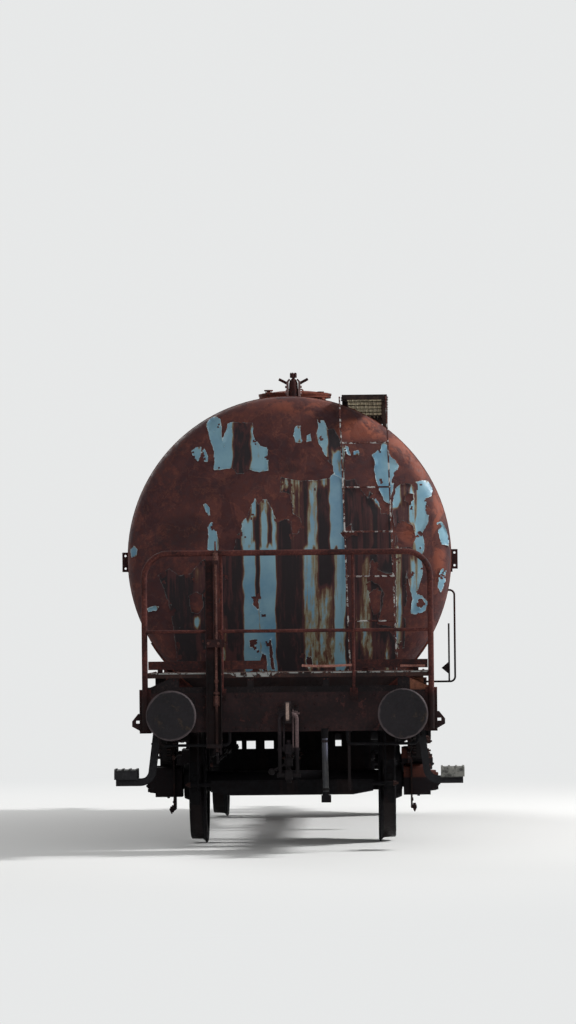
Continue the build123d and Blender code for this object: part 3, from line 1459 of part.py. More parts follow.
# Brake rigging: a cross shaft in two hangers, its cranks, the pull rods and the levers on the beams
brake_shaft_radius = 32
brake_shaft_x = (-590, 650)
shaft_hanger_x = 470
pull_rod_z = rail_top + 655
pull_rod_radius = 16
crank_reach = pull_rod_z - brake_shaft_z
crank_gap = 22
crank_thickness = 14
lever_gap = 34
lever_top = rail_top + 690
with BuildPart() as brake_rods:
    shaft_ends = [(end_x, brake_shaft_y, brake_shaft_z) for end_x in brake_shaft_x]
    rod(*shaft_ends, brake_shaft_radius)
    # Columns: middle in X, foot height, head height
    cranks = [
        (0, brake_shaft_z - crank_reach, pull_rod_z),
        (cylinder_x, brake_shaft_z, cylinder_z),
        (spindle_x, brake_shaft_z, linkage_z),
    ]
    for crank_x, foot_z, head_z in cranks:
        for side in sides.values():
            plate_middle = crank_x + side * (crank_gap + crank_thickness / 2)
            with BuildSketch(along(plate_middle - crank_thickness / 2)):
                with Locations((brake_shaft_y, (foot_z + head_z) / 2)):
                    SlotCenterToCenter(head_z - foot_z, 52, rotation=90)
                with Locations((brake_shaft_y, brake_shaft_z)):
                    Circle(48)
            extrude(amount=crank_thickness)
        pin_reach = crank_gap + crank_thickness + 6
        pin_ends = [(crank_x + side * pin_reach, brake_shaft_y, head_z) for side in sides.values()]
        rod(*pin_ends, crank_pin_radius)
    lower_pin_ends = [(side * (crank_gap + 20), brake_shaft_y, cranks[0][1]) for side in sides.values()]
    rod(*lower_pin_ends, crank_pin_radius)
    for side in sides.values():
        with BuildSketch(along(side * shaft_hanger_x - 9)):
            with BuildLine():
                Polyline(
                    (brake_shaft_y - 56, brake_shaft_z),
                    (tank_centre_y - 28, bearer_bottom),
                    (tank_centre_y + 28, bearer_bottom),
                    (brake_shaft_y + 56, brake_shaft_z),
                    close=True,
                )
            make_face()
            with Locations((brake_shaft_y, brake_shaft_z)):
                Circle(56)
        extrude(amount=18)
    front_rod_y = front_axle_y - beam_offset - 20
    rear_rod_y = (rear_axle_y - beam_offset, rear_axle_y + beam_offset + 20)
    rod((0, front_rod_y, pull_rod_z), (0, brake_shaft_y, pull_rod_z), pull_rod_radius)
    rod((0, brake_shaft_y, brake_shaft_z - crank_reach), (0, rear_rod_y[0], pull_rod_z), pull_rod_radius)
    rod((0, rear_rod_y[0] - 10, pull_rod_z), (0, rear_rod_y[1], pull_rod_z), pull_rod_radius)
    for axle_y in axle_places.values():
        for edge in (-1, 1):
            beam_y = axle_y + edge * beam_offset
            rod((-lever_gap - 16, beam_y, pull_rod_z), (lever_gap + 16, beam_y, pull_rod_z), 11)
            for side in sides.values():
                lever_x = side * (lever_gap + 8)
                with BuildSketch(along(lever_x - 8)):
                    with BuildLine():
                        Polyline(
                            (beam_y - beam_thickness, beam_z + beam_height / 2 + seat_gap),
                            (beam_y - 18, lever_top),
                            (beam_y + 18, lever_top),
                            (beam_y + beam_thickness, beam_z + beam_height / 2 + seat_gap),
                            close=True,
                        )
                    make_face()
                extrude(amount=16)
brake_rods.part.label = "brake_rods"
export_step(brake_rods.part, "parts/brake_rods.step")

# Steps under the platform's corners: bent arms and a pressed tread with drooping edges and ribs
tread_top = rail_top + 604
tread_width = 178
tread_depth = 300
tread_droop = 74
tread_nose = 34
tread_sheet = 6
rib_rise = 7
rib_count = 4
tread_inner_x = 1166
tread_rear_y = -3890
step_arm_bar = 54
step_arm_thickness = 14
step_arm_top_x = 1012
step_arm_heel = (1066, rail_top + 506)
step_arm_bend = 92
step_arm_places = [tread_rear_y - tread_depth + 60, tread_rear_y - 60]


def arched_profile(front, rear, top, rise):
    """Closed outline of a sheet arched over from front to rear and lifted by rise."""
    outside = [
        (front - rise, top - tread_droop),
        (front - rise, top + rise),
        (rear + rise, top + rise),
        (rear + rise, top - tread_droop),
    ]
    inside = [
        (front + tread_sheet, top - tread_droop),
        (front + tread_sheet, top - tread_sheet),
        (rear - tread_sheet, top - tread_sheet),
        (rear - tread_sheet, top - tread_droop),
    ]
    outer = FilletPolyline(*outside, radius=tread_nose + rise)
    inner = FilletPolyline(*inside, radius=tread_nose - tread_sheet)
    Line(outer @ 0, inner @ 0)
    Line(outer @ 1, inner @ 1)


with BuildPart() as side_steps:
    for side in sides.values():
        tread_middle_x = side * (tread_inner_x + tread_width / 2)
        with BuildSketch(along(tread_middle_x - tread_width / 2)):
            with BuildLine():
                arched_profile(tread_rear_y - tread_depth, tread_rear_y, tread_top, 0)
            make_face()
        extrude(amount=tread_width)
        rib_pitch = (tread_width - 2 * rib_rise) / (rib_count - 1)
        for index in range(rib_count):
            rib_x = tread_middle_x - tread_width / 2 + index * rib_pitch
            with BuildSketch(along(rib_x)):
                with BuildLine():
                    arched_profile(tread_rear_y - tread_depth, tread_rear_y, tread_top, rib_rise)
                make_face()
            extrude(amount=2 * rib_rise)
        heel_x, heel_z = step_arm_heel
        for arm_y in step_arm_places:
            with BuildLine() as arm_line:
                FilletPolyline(
                    (side * step_arm_top_x, arm_y, sole_bar_bottom),
                    (side * heel_x, arm_y, heel_z),
                    (side * (tread_inner_x + tread_width - 10), arm_y, heel_z),
                    radius=step_arm_bend,
                )
            arm_plane = Plane(origin=arm_line.line @ 0, x_dir=(0, 1, 0), z_dir=arm_line.line % 0)
            with BuildSketch(arm_plane) as arm_section:
                Rectangle(step_arm_thickness, step_arm_bar)
            sweep(arm_section.sketch, path=arm_line.line)
        tread_floor_x = (side * tread_inner_x, side * (tread_inner_x + tread_width))
        tread_floor_z = heel_z + step_arm_bar / 2
        block(tread_floor_x, step_arm_places, (tread_floor_z - 4, tread_floor_z + 6))
        for arm_y in step_arm_places:
            riser_x = (side * (tread_inner_x + 20), side * (tread_inner_x + tread_width - 20))
            riser_y = (arm_y - step_arm_thickness / 2, arm_y + step_arm_thickness / 2)
            block(riser_x, riser_y, (heel_z, tread_top - tread_sheet))
    above_sole_bars = (sole_bar_bottom, tank_z)
    block((-2 * frame_width, 2 * frame_width), (-2 * headstock_y, 0), above_sole_bars, mode=Mode.SUBTRACT)
side_steps.part.label = "side_steps"
export_step(side_steps.part, "parts/side_steps.step")

# Shunter's handles under the buffers
handle_radius = 11
handle_y = headstock_y - 15
handle_z = rail_top + 790
with BuildPart() as shunter_handles:
    for side in sides.values():
        for end in (-1, 1):
            with BuildLine() as handle_line:
                FilletPolyline(
                    (side * 450, end * handle_y, headstock_bottom),
                    (side * 450, end * handle_y, handle_z),
                    (side * 990, end * handle_y, handle_z),
                    (side * 990, end * handle_y, headstock_bottom),
                    radius=40,
                )
            handle_plane = Plane(origin=handle_line.line @ 0, z_dir=handle_line.line % 0)
            with BuildSketch(handle_plane) as handle_section:
                Circle(handle_radius)
            sweep(handle_section.sketch, path=handle_line.line)
shunter_handles.part.label = "shunter_handles"
export_step(shunter_handles.part, "parts/shunter_handles.step")

# Grab frame on the right side: a bent round bar with an inner bar and a triangular foot bracket
grab_x = 1310
grab_inner_x = 1262
grab_y = -1900
grab_z = (rail_top + 1230, rail_top + 1970)
grab_radius = 8
grab_inner_radius = 7
grab_bracket_thickness = 10
grab_bracket_rise = 110
grab_bracket_half_height = 52
grab_bracket_x = (1200, 1262)
with BuildPart() as grab_rail:
    with BuildLine() as grab_line:
        FilletPolyline(
            (saddle_rib_places[-1] + saddle_rib / 2 + seat_gap, grab_y, grab_z[0]),
            (grab_x, grab_y, grab_z[0]),
            (grab_x, grab_y, grab_z[1]),
            (tank_radius - 60, grab_y, grab_z[1]),
            radius=40,
        )
    with BuildSketch(Plane(origin=grab_line.line @ 0, z_dir=grab_line.line % 0)):
        Circle(grab_radius)
    sweep()
    rod((grab_inner_x, grab_y, grab_z[0]), (grab_inner_x, grab_y, grab_z[0] + 470), grab_inner_radius)
    bracket_z = grab_z[0] + grab_bracket_rise
    with BuildSketch(across(grab_y - grab_bracket_thickness / 2)):
        with BuildLine():
            Polyline(
                (grab_bracket_x[0], bracket_z),
                (grab_bracket_x[1], bracket_z + grab_bracket_half_height),
                (grab_bracket_x[1], bracket_z - grab_bracket_half_height),
                close=True,
            )
        make_face()
    extrude(amount=-grab_bracket_thickness)
    with Locations((0, grab_y, tank_z)):
        Cylinder(tank_radius + seat_gap, 400, rotation=(90, 0, 0), mode=Mode.SUBTRACT)
grab_rail.part.label = "grab_rail"
export_step(grab_rail.part, "parts/grab_rail.step")
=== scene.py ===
import logging
import math
from dataclasses import dataclass
from enum import Enum
from functools import cache
from itertools import product

import bmesh
import bpy
import numpy as np
from mathutils import Matrix, Vector, noise


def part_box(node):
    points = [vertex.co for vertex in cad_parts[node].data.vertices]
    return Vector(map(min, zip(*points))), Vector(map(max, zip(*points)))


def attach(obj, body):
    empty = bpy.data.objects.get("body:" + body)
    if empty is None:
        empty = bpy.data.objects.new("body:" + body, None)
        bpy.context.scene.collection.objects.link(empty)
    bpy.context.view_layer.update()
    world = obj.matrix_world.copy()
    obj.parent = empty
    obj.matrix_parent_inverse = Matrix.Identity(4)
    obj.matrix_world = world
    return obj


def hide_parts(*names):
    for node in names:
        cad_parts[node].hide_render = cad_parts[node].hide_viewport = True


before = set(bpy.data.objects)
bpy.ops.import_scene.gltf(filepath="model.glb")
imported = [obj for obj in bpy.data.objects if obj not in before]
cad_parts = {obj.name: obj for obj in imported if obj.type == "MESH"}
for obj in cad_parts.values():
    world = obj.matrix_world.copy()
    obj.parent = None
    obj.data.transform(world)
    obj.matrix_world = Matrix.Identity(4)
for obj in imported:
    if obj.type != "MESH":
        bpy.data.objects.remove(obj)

log = logging.getLogger("wagon")
Point = tuple[float, float, float]
Colour = tuple[int, int, int]
Palette = tuple[Colour, ...]
Span = float | tuple[float, ...]
Outline = tuple[tuple[float, float], ...]
WAGON = "wagon"
RIGHT, LEFT, UP, DOWN, AHEAD, BACK = (1, 0, 0), (-1, 0, 0), (0, 0, 1), (0, 0, -1), (0, -1, 0), (0, 1, 0)
SIDES = (-1, 1)


def shade(colour: Colour) -> Point:
    """Turns a screen colour of 0 to 255 into the linear colour that a shader takes."""
    return tuple(((value / 255 + 0.055) / 1.055) ** 2.4 if value > 10 else value / 3294 for value in colour)


class Signal:
    """An output socket that sums can be written with."""

    def __init__(self, wiring: "Wiring", socket: bpy.types.NodeSocket) -> None:
        """Holds the socket and the wiring of its tree."""
        self.wiring, self.socket = wiring, socket

    def __add__(self, other: object) -> "Signal":
        """Adds a value."""
        return self.wiring.math("ADD", self, other)

    def __sub__(self, other: object) -> "Signal":
        """Subtracts a value."""
        return self.wiring.math("SUBTRACT", self, other)

    def __rsub__(self, other: object) -> "Signal":
        """Subtracts this from a value."""
        return self.wiring.math("SUBTRACT", other, self)

    def __mul__(self, other: object) -> "Signal":
        """Multiplies by a value."""
        return self.wiring.math("MULTIPLY", self, other)

    def __truediv__(self, other: object) -> "Signal":
        """Divides by a value."""
        return self.wiring.math("DIVIDE", self, other)

    def __pow__(self, other: object) -> "Signal":
        """Raises this to a power."""
        return self.wiring.math("POWER", self, other)

    def __abs__(self) -> "Signal":
        """Drops the sign."""
        return self.wiring.math("ABSOLUTE", self)

    __radd__, __rmul__ = __add__, __mul__


class Wiring:
    """Short calls that add shader nodes to one node tree and join them."""

    def __init__(self, tree: bpy.types.NodeTree) -> None:
        """Holds the tree that the calls write to."""
        self.tree = tree

    def add(self, kind: str, values: tuple[object, ...] = (), **settings: object) -> bpy.types.Node:
        """Adds a node.

        Args:
            kind: The node's type, without the leading ShaderNode.
            values: What goes to its first inputs, in order.
            settings: Properties that are set on it.

        Returns:
            The new node.
        """
        node = self.tree.nodes.new(kind if kind.startswith("NodeGroup") else f"ShaderNode{kind}")
        for name, value in settings.items():
            setattr(node, name, value)
        for socket, value in zip(node.inputs, values):
            self.feed(socket, value)
        return node

    def feed(self, socket: bpy.types.NodeSocket, value: object) -> None:
        """Joins a socket to a signal, or sets its own value.

        Args:
            socket: The input to fill.
            value: A signal, a number, a screen colour or a vector.
        """
        if isinstance(value, Signal):
            self.tree.links.new(value.socket, socket)
        elif socket.type == "RGBA":
            socket.default_value = (*shade(value), 1.0)
        else:
            socket.default_value = value

    def signal(self, kind: str, values: tuple[object, ...], **settings: object) -> Signal:
        """Adds a node and gives its first output."""
        return Signal(self, self.add(kind, values, **settings).outputs[0])

    def math(self, operation: str, first: object, second: object = 0.0) -> Signal:
        """Adds a Math node."""
        return self.signal("Math", (first, second), operation=operation)

    def scaled(self, vector: Signal, scale: Point, shift: Point = (0.0, 0.0, 0.0)) -> Signal:
        """Stretches coordinates by a factor along each axis and shifts them."""
        return self.signal("Mapping", (vector, shift, (0.0, 0.0, 0.0), scale))

    def noise(
        self, vector: Signal, scale: object, detail: float = 4.0, rough: float = 0.55, twist: float = 0.0
    ) -> Signal:
        """Adds a noise texture.

        Args:
            vector: Its coordinates.
            scale: Its scale.
            detail: Number of finer layers.
            rough: Strength of the finer layers.
            twist: Distortion.

        Returns:
            The noise as a value near 0.5.
        """
        node = self.add("TexNoise")
        values = {"Vector": vector, "Scale": scale, "Detail": detail, "Roughness": rough, "Distortion": twist}
        for name, value in values.items():
            self.feed(node.inputs[name], value)
        return Signal(self, node.outputs[0])

    def step(self, value: Signal, low: object, high: object, start: float = 0.0, end: float = 1.0) -> Signal:
        """Adds a smooth step from start to end, as the value goes from low to high."""
        return self.signal("MapRange", (value, low, high, start, end), interpolation_type="SMOOTHSTEP")

    def mix(self, share: object, first: object, second: object) -> Signal:
        """Mixes two colours, by the share of the second.

        Args:
            share: How much of the second colour shows.
            first: First colour.
            second: Second colour.

        Returns:
            The mixed colour.
        """
        node = self.add("Mix", (share,), data_type="RGBA")
        self.feed(node.inputs[6], first)
        self.feed(node.inputs[7], second)
        return Signal(self, node.outputs[2])

    def split(self, vector: Signal) -> tuple[Signal, ...]:
        """Splits coordinates into X, Y and Z."""
        return tuple(Signal(self, socket) for socket in self.add("SeparateXYZ", (vector,)).outputs)

    def joined(self, *parts: object) -> Signal:
        """Joins X, Y and Z into coordinates."""
        return self.signal("CombineXYZ", parts)

    def bump(self, height: Signal, depth: float, normal: Signal | None = None) -> Signal:
        """Adds a Bump node.

        Args:
            height: The relief, from 0 to 1.
            depth: Depth of the whole relief, in metres.
            normal: An earlier bump to add to.

        Returns:
            The bent normal.
        """
        node = self.add("Bump")
        node.inputs["Distance"].default_value = depth
        self.feed(node.inputs["Height"], height)
        if normal is not None:
            self.feed(node.inputs["Normal"], normal)
        return Signal(self, node.outputs[0])

    def use(self, name: str, *values: object) -> tuple[Signal, ...]:
        """Places a built effect.

        Args:
            name: The effect's name.
            values: What goes to its inputs, in order.

        Returns:
            Its outputs, in order.
        """
        node = self.add("Group", node_tree=Effect.made[name])
        for socket, value in zip(node.inputs, values):
            self.feed(socket, value)
        return tuple(Signal(self, socket) for socket in node.outputs)

    def rust(self, place: Signal, scale: float, palette: Palette, share: float) -> tuple[Signal, ...]:
        """Places the rust effect with its dark, middle and bright colours and the bright one's share."""
        return self.use("rust", place, scale, *palette, share)


class Effect(Wiring):
    """A shader node group that several finishes share, built once."""

    made: dict[str, bpy.types.NodeTree] = {}

    def __init__(self, name: str, inputs: str, outputs: str) -> None:
        """Makes the group's sockets.

        Args:
            name: The group's name.
            inputs: Each input's name and type, such as Scale:Float.
            outputs: Each output's name and type.
        """
        super().__init__(bpy.data.node_groups.new(name, "ShaderNodeTree"))
        for way, sockets in (("INPUT", inputs), ("OUTPUT", outputs)):
            for label, kind in (socket.split(":") for socket in sockets.split()):
                self.tree.interface.new_socket(label, in_out=way, socket_type=f"NodeSocket{kind}")
        count = len(inputs.split())
        self.given = [Signal(self, socket) for socket in self.add("NodeGroupInput").outputs[:count]]
        Effect.made[name] = self.tree

    def give(self, *results: Signal) -> None:
        """Joins the results to the group's outputs."""
        self.add("NodeGroupOutput", results)


def build_rust() -> None:
    """Builds the rust effect: mottled colour, pitted relief and roughness."""
    w = Effect(
        "rust",
        "Place:Vector Scale:Float Dark:Color Middle:Color Bright:Color Share:Float",
        "Colour:Color Height:Float Roughness:Float",
    )
    place, scale, dark, middle, bright, share = w.given
    broad = w.noise(place, scale * 2.3, 6.0, 0.6, 0.4)
    fine = w.noise(place, scale * 34.0, 5.0, 0.65)
    grit = w.noise(place, scale * 160.0, 3.0, 0.6)
    colour = w.mix(w.step(broad * 0.62 + fine * 0.38, 0.36, 0.58), dark, middle)
    spots = w.step(fine + grit * 0.35, 0.66, 0.86) * share * w.step(broad, 0.4, 0.6, 0.35, 1.0)
    w.give(w.mix(spots, colour, bright), fine * 0.6 + grit * 0.4, w.step(fine, 0.3, 0.7, 0.62, 0.9))


def build_runs() -> None:
    """Builds the runs effect: narrow stains that run down, thinner and thicker from place to place."""
    w = Effect("runs", "Place:Vector Scale:Float Amount:Float", "Mask:Float Thin:Float")
    place, scale, amount = w.given
    drawn_out = w.scaled(place, (1.0, 1.0, 0.045))
    wide = w.noise(drawn_out, scale * 5.0, 3.0, 0.6, 0.15)
    thin = w.noise(drawn_out, scale * 26.0, 3.0, 0.65)
    patchy = w.noise(place, scale * 1.6, 3.0, 0.5)
    level = wide * 0.6 + thin * 0.4 + patchy * 0.3 - (0.85 - amount * 0.4)
    w.give(w.step(level, 0.0, 0.09), w.step(thin, 0.5, 0.68))


def build_flakes() -> None:
    """Builds the flakes effect: ragged islands of old paint and their rims."""
    w = Effect("flakes", "Place:Vector Scale:Float Cover:Float", "Mask:Float Rim:Float")
    place, scale, cover = w.given
    broad = w.noise(place, scale * 1.7, 7.0, 0.62, 0.3)
    ragged = w.noise(place, scale * 19.0, 4.0, 0.6)
    over = broad * 0.84 + ragged * 0.16 - (0.72 - cover * 0.44)
    w.give(w.step(over, 0.0, 0.006), w.step(over, -0.012, 0.0) - w.step(over, 0.004, 0.018))


def build_old_paint() -> None:
    """Builds the old paint effect: pale paint that turns ochre, brown and near black as its stain grows."""
    w = Effect("old paint", "Place:Vector Stain:Float", "Colour:Color Height:Float Roughness:Float")
    place, stain = w.given
    streak = w.noise(w.scaled(place, (1, 1, 0.005)), 44.0, 3.0, 0.62)
    wash = w.noise(w.scaled(place, (1, 1, 0.035)), 12.0, 2.0, 0.5)
    speck = w.noise(place, 60.0, 4.0, 0.7)
    dirt = (streak - 0.5) * 0.8 + (wash - 0.5) * 0.75 + (speck - 0.5) * 0.16
    level = stain + dirt * w.step(stain, 0.0, 0.35, 0.5, 1.0)
    colour = w.mix(w.step(w.noise(place, 1.9, 5.0, 0.6), 0.35, 0.65), (78, 118, 142), (112, 146, 160))
    # Columns: where the tone starts and is full, tone
    for low, high, tone in (
        (0.15, 0.30, (116, 110, 88)),
        (0.28, 0.42, (84, 56, 40)),
        (0.40, 0.56, (58, 31, 32)),
        (0.62, 0.90, (22, 14, 18)),
    ):
        colour = w.mix(w.step(level, low, high), colour, tone)
    w.give(colour, speck, w.step(level, 0.1, 0.6, 0.42, 0.78))


class Surface(Wiring):
    """The wiring of one material, with the object coordinates as its place."""

    def __init__(self, material: bpy.types.Material) -> None:
        """Finds the material's shader and adds the coordinates.

        Args:
            material: The material, with its nodes in use.
        """
        super().__init__(material.node_tree)
        self.shader = material.node_tree.nodes["Principled BSDF"]
        self.place = Signal(self, self.add("TexCoord").outputs["Object"])

    def value(self, name: str) -> Signal:
        """Reads a value that the mesh carries."""
        return Signal(self, self.add("Attribute", attribute_name=name).outputs["Fac"])


Look = tuple[Signal, Signal, Signal]


@dataclass(frozen=True)
class Finish:
    """A surface finish that becomes one material."""

    name: str
    gloss: float = 0.12

    def material(self) -> bpy.types.Material:
        """Makes the finish's material.

        Returns:
            The material.
        """
        material = bpy.data.materials.new(self.name)
        material.use_nodes = True
        w = Surface(material)
        for label, value in zip(("Base Color", "Roughness", "Normal"), self.look(w)):
            w.feed(w.shader.inputs[label], value)
        w.shader.inputs["Specular IOR Level"].default_value = self.gloss
        return material

    def look(self, w: Surface) -> Look:
        """Gives the surface's colour, roughness and normal."""
        raise NotImplementedError


@dataclass(frozen=True)
class RustFinish(Finish):
    """Bare or primed steel that has rusted and been streaked by dirt, with the paint that is left on it."""

    palette: Palette = ()
    share: float = 0.4
    scale: float = 1.0
    runs: float = 0.5
    paint: Colour | None = None
    paint_cover: float = 0.0
    paint_scale: float = 3.0
    painted_shade_below: float | None = None
    painted_light_box: tuple[float, float, float, float] | None = None
    painted_light_colour: Colour = (150, 96, 72)

    def look(self, w: Surface) -> Look:
        """Gives the rusted surface, with its paint, its patch of painted light and its painted shade below a
        height.

        Args:
            w: The material's wiring.

        Returns:
            Its colour, roughness and normal.
        """
        colour, pitted, roughness = w.rust(w.place, self.scale, self.palette, self.share)
        runs, thin = w.use("runs", w.place, 1.0, self.runs)
        colour = w.mix(runs * 0.75, colour, (24, 16, 16))
        height = pitted
        if self.paint is not None:
            dark, middle, _ = self.palette
            mask, rim = w.use("flakes", w.place, self.paint_scale, self.paint_cover)
            colour = w.mix(rim * 0.6, w.mix(mask, colour, w.mix(thin * 0.6, self.paint, middle)), dark)
            height = height + mask * 0.9
            roughness = roughness - mask * 0.25
        x, _, z = w.split(w.place)
        # Painted light: a brighter patch inside a box, on the lit side of a part
        if self.painted_light_box is not None:
            left, right, low, high = self.painted_light_box
            across = w.step(x, left, left + 0.004) * w.step(x, right, right - 0.004)
            painted_light_mask = across * w.step(z, low, low + 0.02) * w.step(z, high + 0.02, high)
            colour = w.mix(painted_light_mask * w.step(pitted, 0.35, 0.6, 0.4, 0.9), colour, self.painted_light_colour)
        # Painted shade: near-black below a given height, for the shade underneath the deck and frame
        if self.painted_shade_below is not None:
            grime = w.step(z, self.painted_shade_below + 0.05, self.painted_shade_below - 0.05, 0.0, 0.8)
            colour = w.mix(grime, colour, (13, 11, 12))
        return colour, roughness, w.bump(height, 0.0016)


# Columns: middle x and z, half width and half height in metres, strength above zero for darker rust and
# painted shadow, below zero for painted sunlight
END_RUST_SPOTS_AND_PAINTED_LIGHT = (
    (-0.81, 2.476, 0.216, 0.147, 0.9),
    (-0.457, 2.829, 0.147, 0.118, 0.35),
    (0.033, 2.956, 0.078, 0.043, 0.8),
    (-0.163, 2.633, 0.137, 0.098, 0.25),
    (-1.119, 2.662, 0.043, 0.067, 0.9),
    (-0.947, 2.437, 0.118, 0.157, 0.4),
    (-0.849, 1.732, 0.118, 0.294, 0.7),
    # Rows with strength below zero are painted sunlight on the right side of the end and along its top rim
    (0.944, 2.437, 0.078, 0.088, -0.5),
    (0.601, 3.26, 0.216, 0.098, -0.8),
    (0.895, 3.103, 0.137, 0.176, -0.6),
    (1.071, 2.947, 0.118, 0.118, -0.5),
    (0.131, 3.456, 0.294, 0.078, -0.4),
    # The next two rows are painted shadow of the walkway on the end
    (0.333, 3.350, 0.120, 0.150, 1.0),
    (0.500, 3.330, 0.080, 0.080, 0.8),
    (1.180, 2.500, 0.060, 0.500, -0.6),
    (-0.620, 2.800, 0.160, 0.100, 0.5),
)


@dataclass(frozen=True)
class BareEndFinish(Finish):
    """Smooth red-brown rust of the tank end where its paint has come off."""

    gloss: float = 0.22
    palette: Palette = ((46, 26, 29), (82, 45, 41), (116, 74, 62))

    def look(self, w: Surface) -> Look:
        """Gives the bare end, with darker spots, spots of painted shadow and painted sunlight, blotches,
        scabs and runs, and painted shade along its bottom.

        Args:
            w: The material's wiring.

        Returns:
            Its colour, roughness and normal.
        """
        place = w.place
        colour, height, roughness = w.rust(place, 0.8, self.palette, 0.35)
        x, _, z = w.split(place)
        sway = (w.noise(place, 5.0, 5.0, 0.6) - 0.5) * 0.9
        dark: object = 0.0
        bright: object = 0.0
        # Darker spots are rust and painted shadow; brighter spots are painted sunlight
        for spot_x, spot_z, wide, high, strength in END_RUST_SPOTS_AND_PAINTED_LIGHT:
            away = ((x - spot_x) / wide) ** 2.0 + ((z - spot_z) / high) ** 2.0 + sway
            mask = w.step(1.0 - away, -0.35, 0.9) * abs(strength)
            if strength > 0:
                dark = w.math("MAXIMUM", dark, mask)
            else:
                bright = w.math("MAXIMUM", bright, mask)
        colour = w.mix(dark * 0.85, colour, (36, 20, 23))
        # Painted sunlight from the brighter spots
        colour = w.mix(bright * 0.8, colour, (148, 80, 58))
        blotch = w.noise(place, 3.4, 7.0, 0.68, 0.6)
        colour = w.mix(w.step(blotch, 0.50, 0.58, 0.0, 0.72), colour, (46, 25, 29))
        ochre = w.noise(w.scaled(place, (1, 1, 1), (4, 0, 7)), 6.5, 6.0, 0.7, 0.5)
        colour = w.mix(w.step(ochre, 0.62, 0.76, 0.0, 0.4), colour, (112, 72, 46))
        scabs = w.noise(place, 3.6, 7.0, 0.62, 0.3)
        colour = w.mix(w.step(scabs, 0.50, 0.52, 0.0, 0.4), colour, (50, 27, 30))
        rim = w.step(scabs, 0.488, 0.496) - w.step(scabs, 0.5, 0.508)
        colour = w.mix(rim * 0.14, colour, (128, 82, 64))
        colour = w.mix(w.use("runs", place, 1.4, 0.1)[0] * 0.5, colour, (38, 20, 22))
        # Painted shade: near-black below the deck's height, where the deck shades the end
        colour = w.mix(w.step(z, 1.42, 1.30, 0.0, 0.85), colour, (16, 12, 13))
        normal = w.bump(w.step(scabs, 0.5, 0.6), 0.0012, w.bump(w.noise(place, 1.1, 2.0, 0.4), 0.014))
        return colour, roughness, w.bump(height, 0.001, normal)


@dataclass(frozen=True)
class SkinFinish(Finish):
    """Old paint on a piece that carries its own stain and edge values."""

    gloss: float = 0.3

    def look(self, w: Surface) -> Look:
        """Gives the paint, fresher at its broken edges.

        Args:
            w: The material's wiring.

        Returns:
            Its colour, roughness and normal.
        """
        stain = w.value("stain")
        colour, height, roughness = w.use("old paint", w.place, stain)
        fresh = w.step(w.value("edge"), 0.35, 0.95) * w.step(stain, 0.35, 0.6, 0.7, 0.15)
        normal = w.bump(w.noise(w.place, 6.0, 3.0, 0.5), 0.004)
        return w.mix(fresh, colour, (186, 198, 198)), roughness, w.bump(height, 0.0007, normal)


@dataclass(frozen=True)
class ShellFinish(Finish):
    """Streaked pale paint that peels off the barrel or the far end."""

    gloss: float = 0.25
    cover: float = 0.46
    wraps: bool = False
    palette: Palette = ((50, 29, 29), (82, 46, 39), (118, 76, 58))

    def flat_place(self, w: Surface) -> Signal:
        """Unrolls the round barrel, so that stains run down its curve.

        Args:
            w: The material's wiring.

        Returns:
            Coordinates whose Z runs down the curve.
        """
        x, y, z = w.split(w.place)
        if not self.wraps:
            return w.joined(x, 3.0, z)
        low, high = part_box("tank_barrel")
        turn = w.math("ARCTAN2", abs(x), z - float(low[2] + high[2]) / 2)
        return w.joined(y, w.step(x, -0.4, 0.4, -0.6, 0.6), turn * -1.27)

    def look(self, w: Surface) -> Look:
        """Gives the peeling shell.

        Args:
            w: The material's wiring.

        Returns:
            Its colour, roughness and normal.
        """
        flat = self.flat_place(w)
        colour, pitted, roughness = w.rust(flat, 0.8, self.palette, 0.35)
        colour = w.mix(w.use("runs", flat, 1.2, 0.35)[0] * 0.6, colour, (42, 22, 22))
        broad = w.noise(w.scaled(flat, (1.0, 1.0, 0.5)), 1.3, 7.0, 0.66, 0.4)
        pits = w.step(w.noise(flat, 11.0, 5.0, 0.6), 0.6, 0.68) * 0.06
        worn = (broad - (0.72 - self.cover * 0.44)) * 0.5 - pits
        mask = w.step(worn, 0.0, 0.0022)
        rim = w.step(worn, -0.006, 0.0) - w.step(worn, 0.002, 0.007)
        bands = w.noise(w.scaled(flat, (1, 1, 0.02)), 2.6, 4.0, 0.6)
        stain = w.step(bands, 0.38, 0.62, 0.02, 0.8) + w.step(w.noise(flat, 0.9, 2.0), 0.4, 0.65) * 0.2
        colour = w.mix(mask, colour, w.use("old paint", flat, stain)[0])
        normal = w.bump(mask + rim * 0.8, 0.0024, w.bump(w.noise(flat, 0.9, 2.0, 0.4), 0.016))
        return w.mix(rim * 0.5, colour, (60, 30, 24)), roughness - mask * 0.26, w.bump(pitted, 0.0012, normal)


@dataclass(frozen=True)
class HeadstockFinish(Finish):
    """Near-black grime over the headstock, with red-brown scabs where it has been knocked."""

    scab_cover: float = 0.31
    grime: Palette = ((22, 15, 17), (40, 27, 28), (74, 50, 46))
    scabs: Palette = ((38, 22, 23), (58, 35, 34), (92, 62, 54))

    def look(self, w: Surface) -> Look:
        """Gives the scabbed grime.

        Args:
            w: The material's wiring.

        Returns:
            Its colour, roughness and normal.
        """
        grime, height, roughness = w.rust(w.place, 1.4, self.grime, 0.3)
        mask, _ = w.use("flakes", w.place, 2.4, self.scab_cover)
        colour = w.mix(mask * 0.8, grime, w.rust(w.place, 2.2, self.scabs, 0.4)[0])
        colour = w.mix(w.use("runs", w.place, 1.6, 0.3)[0] * 0.7, colour, (22, 15, 16))
        return colour, roughness, w.bump(height, 0.0014, w.bump(mask, 0.0012))


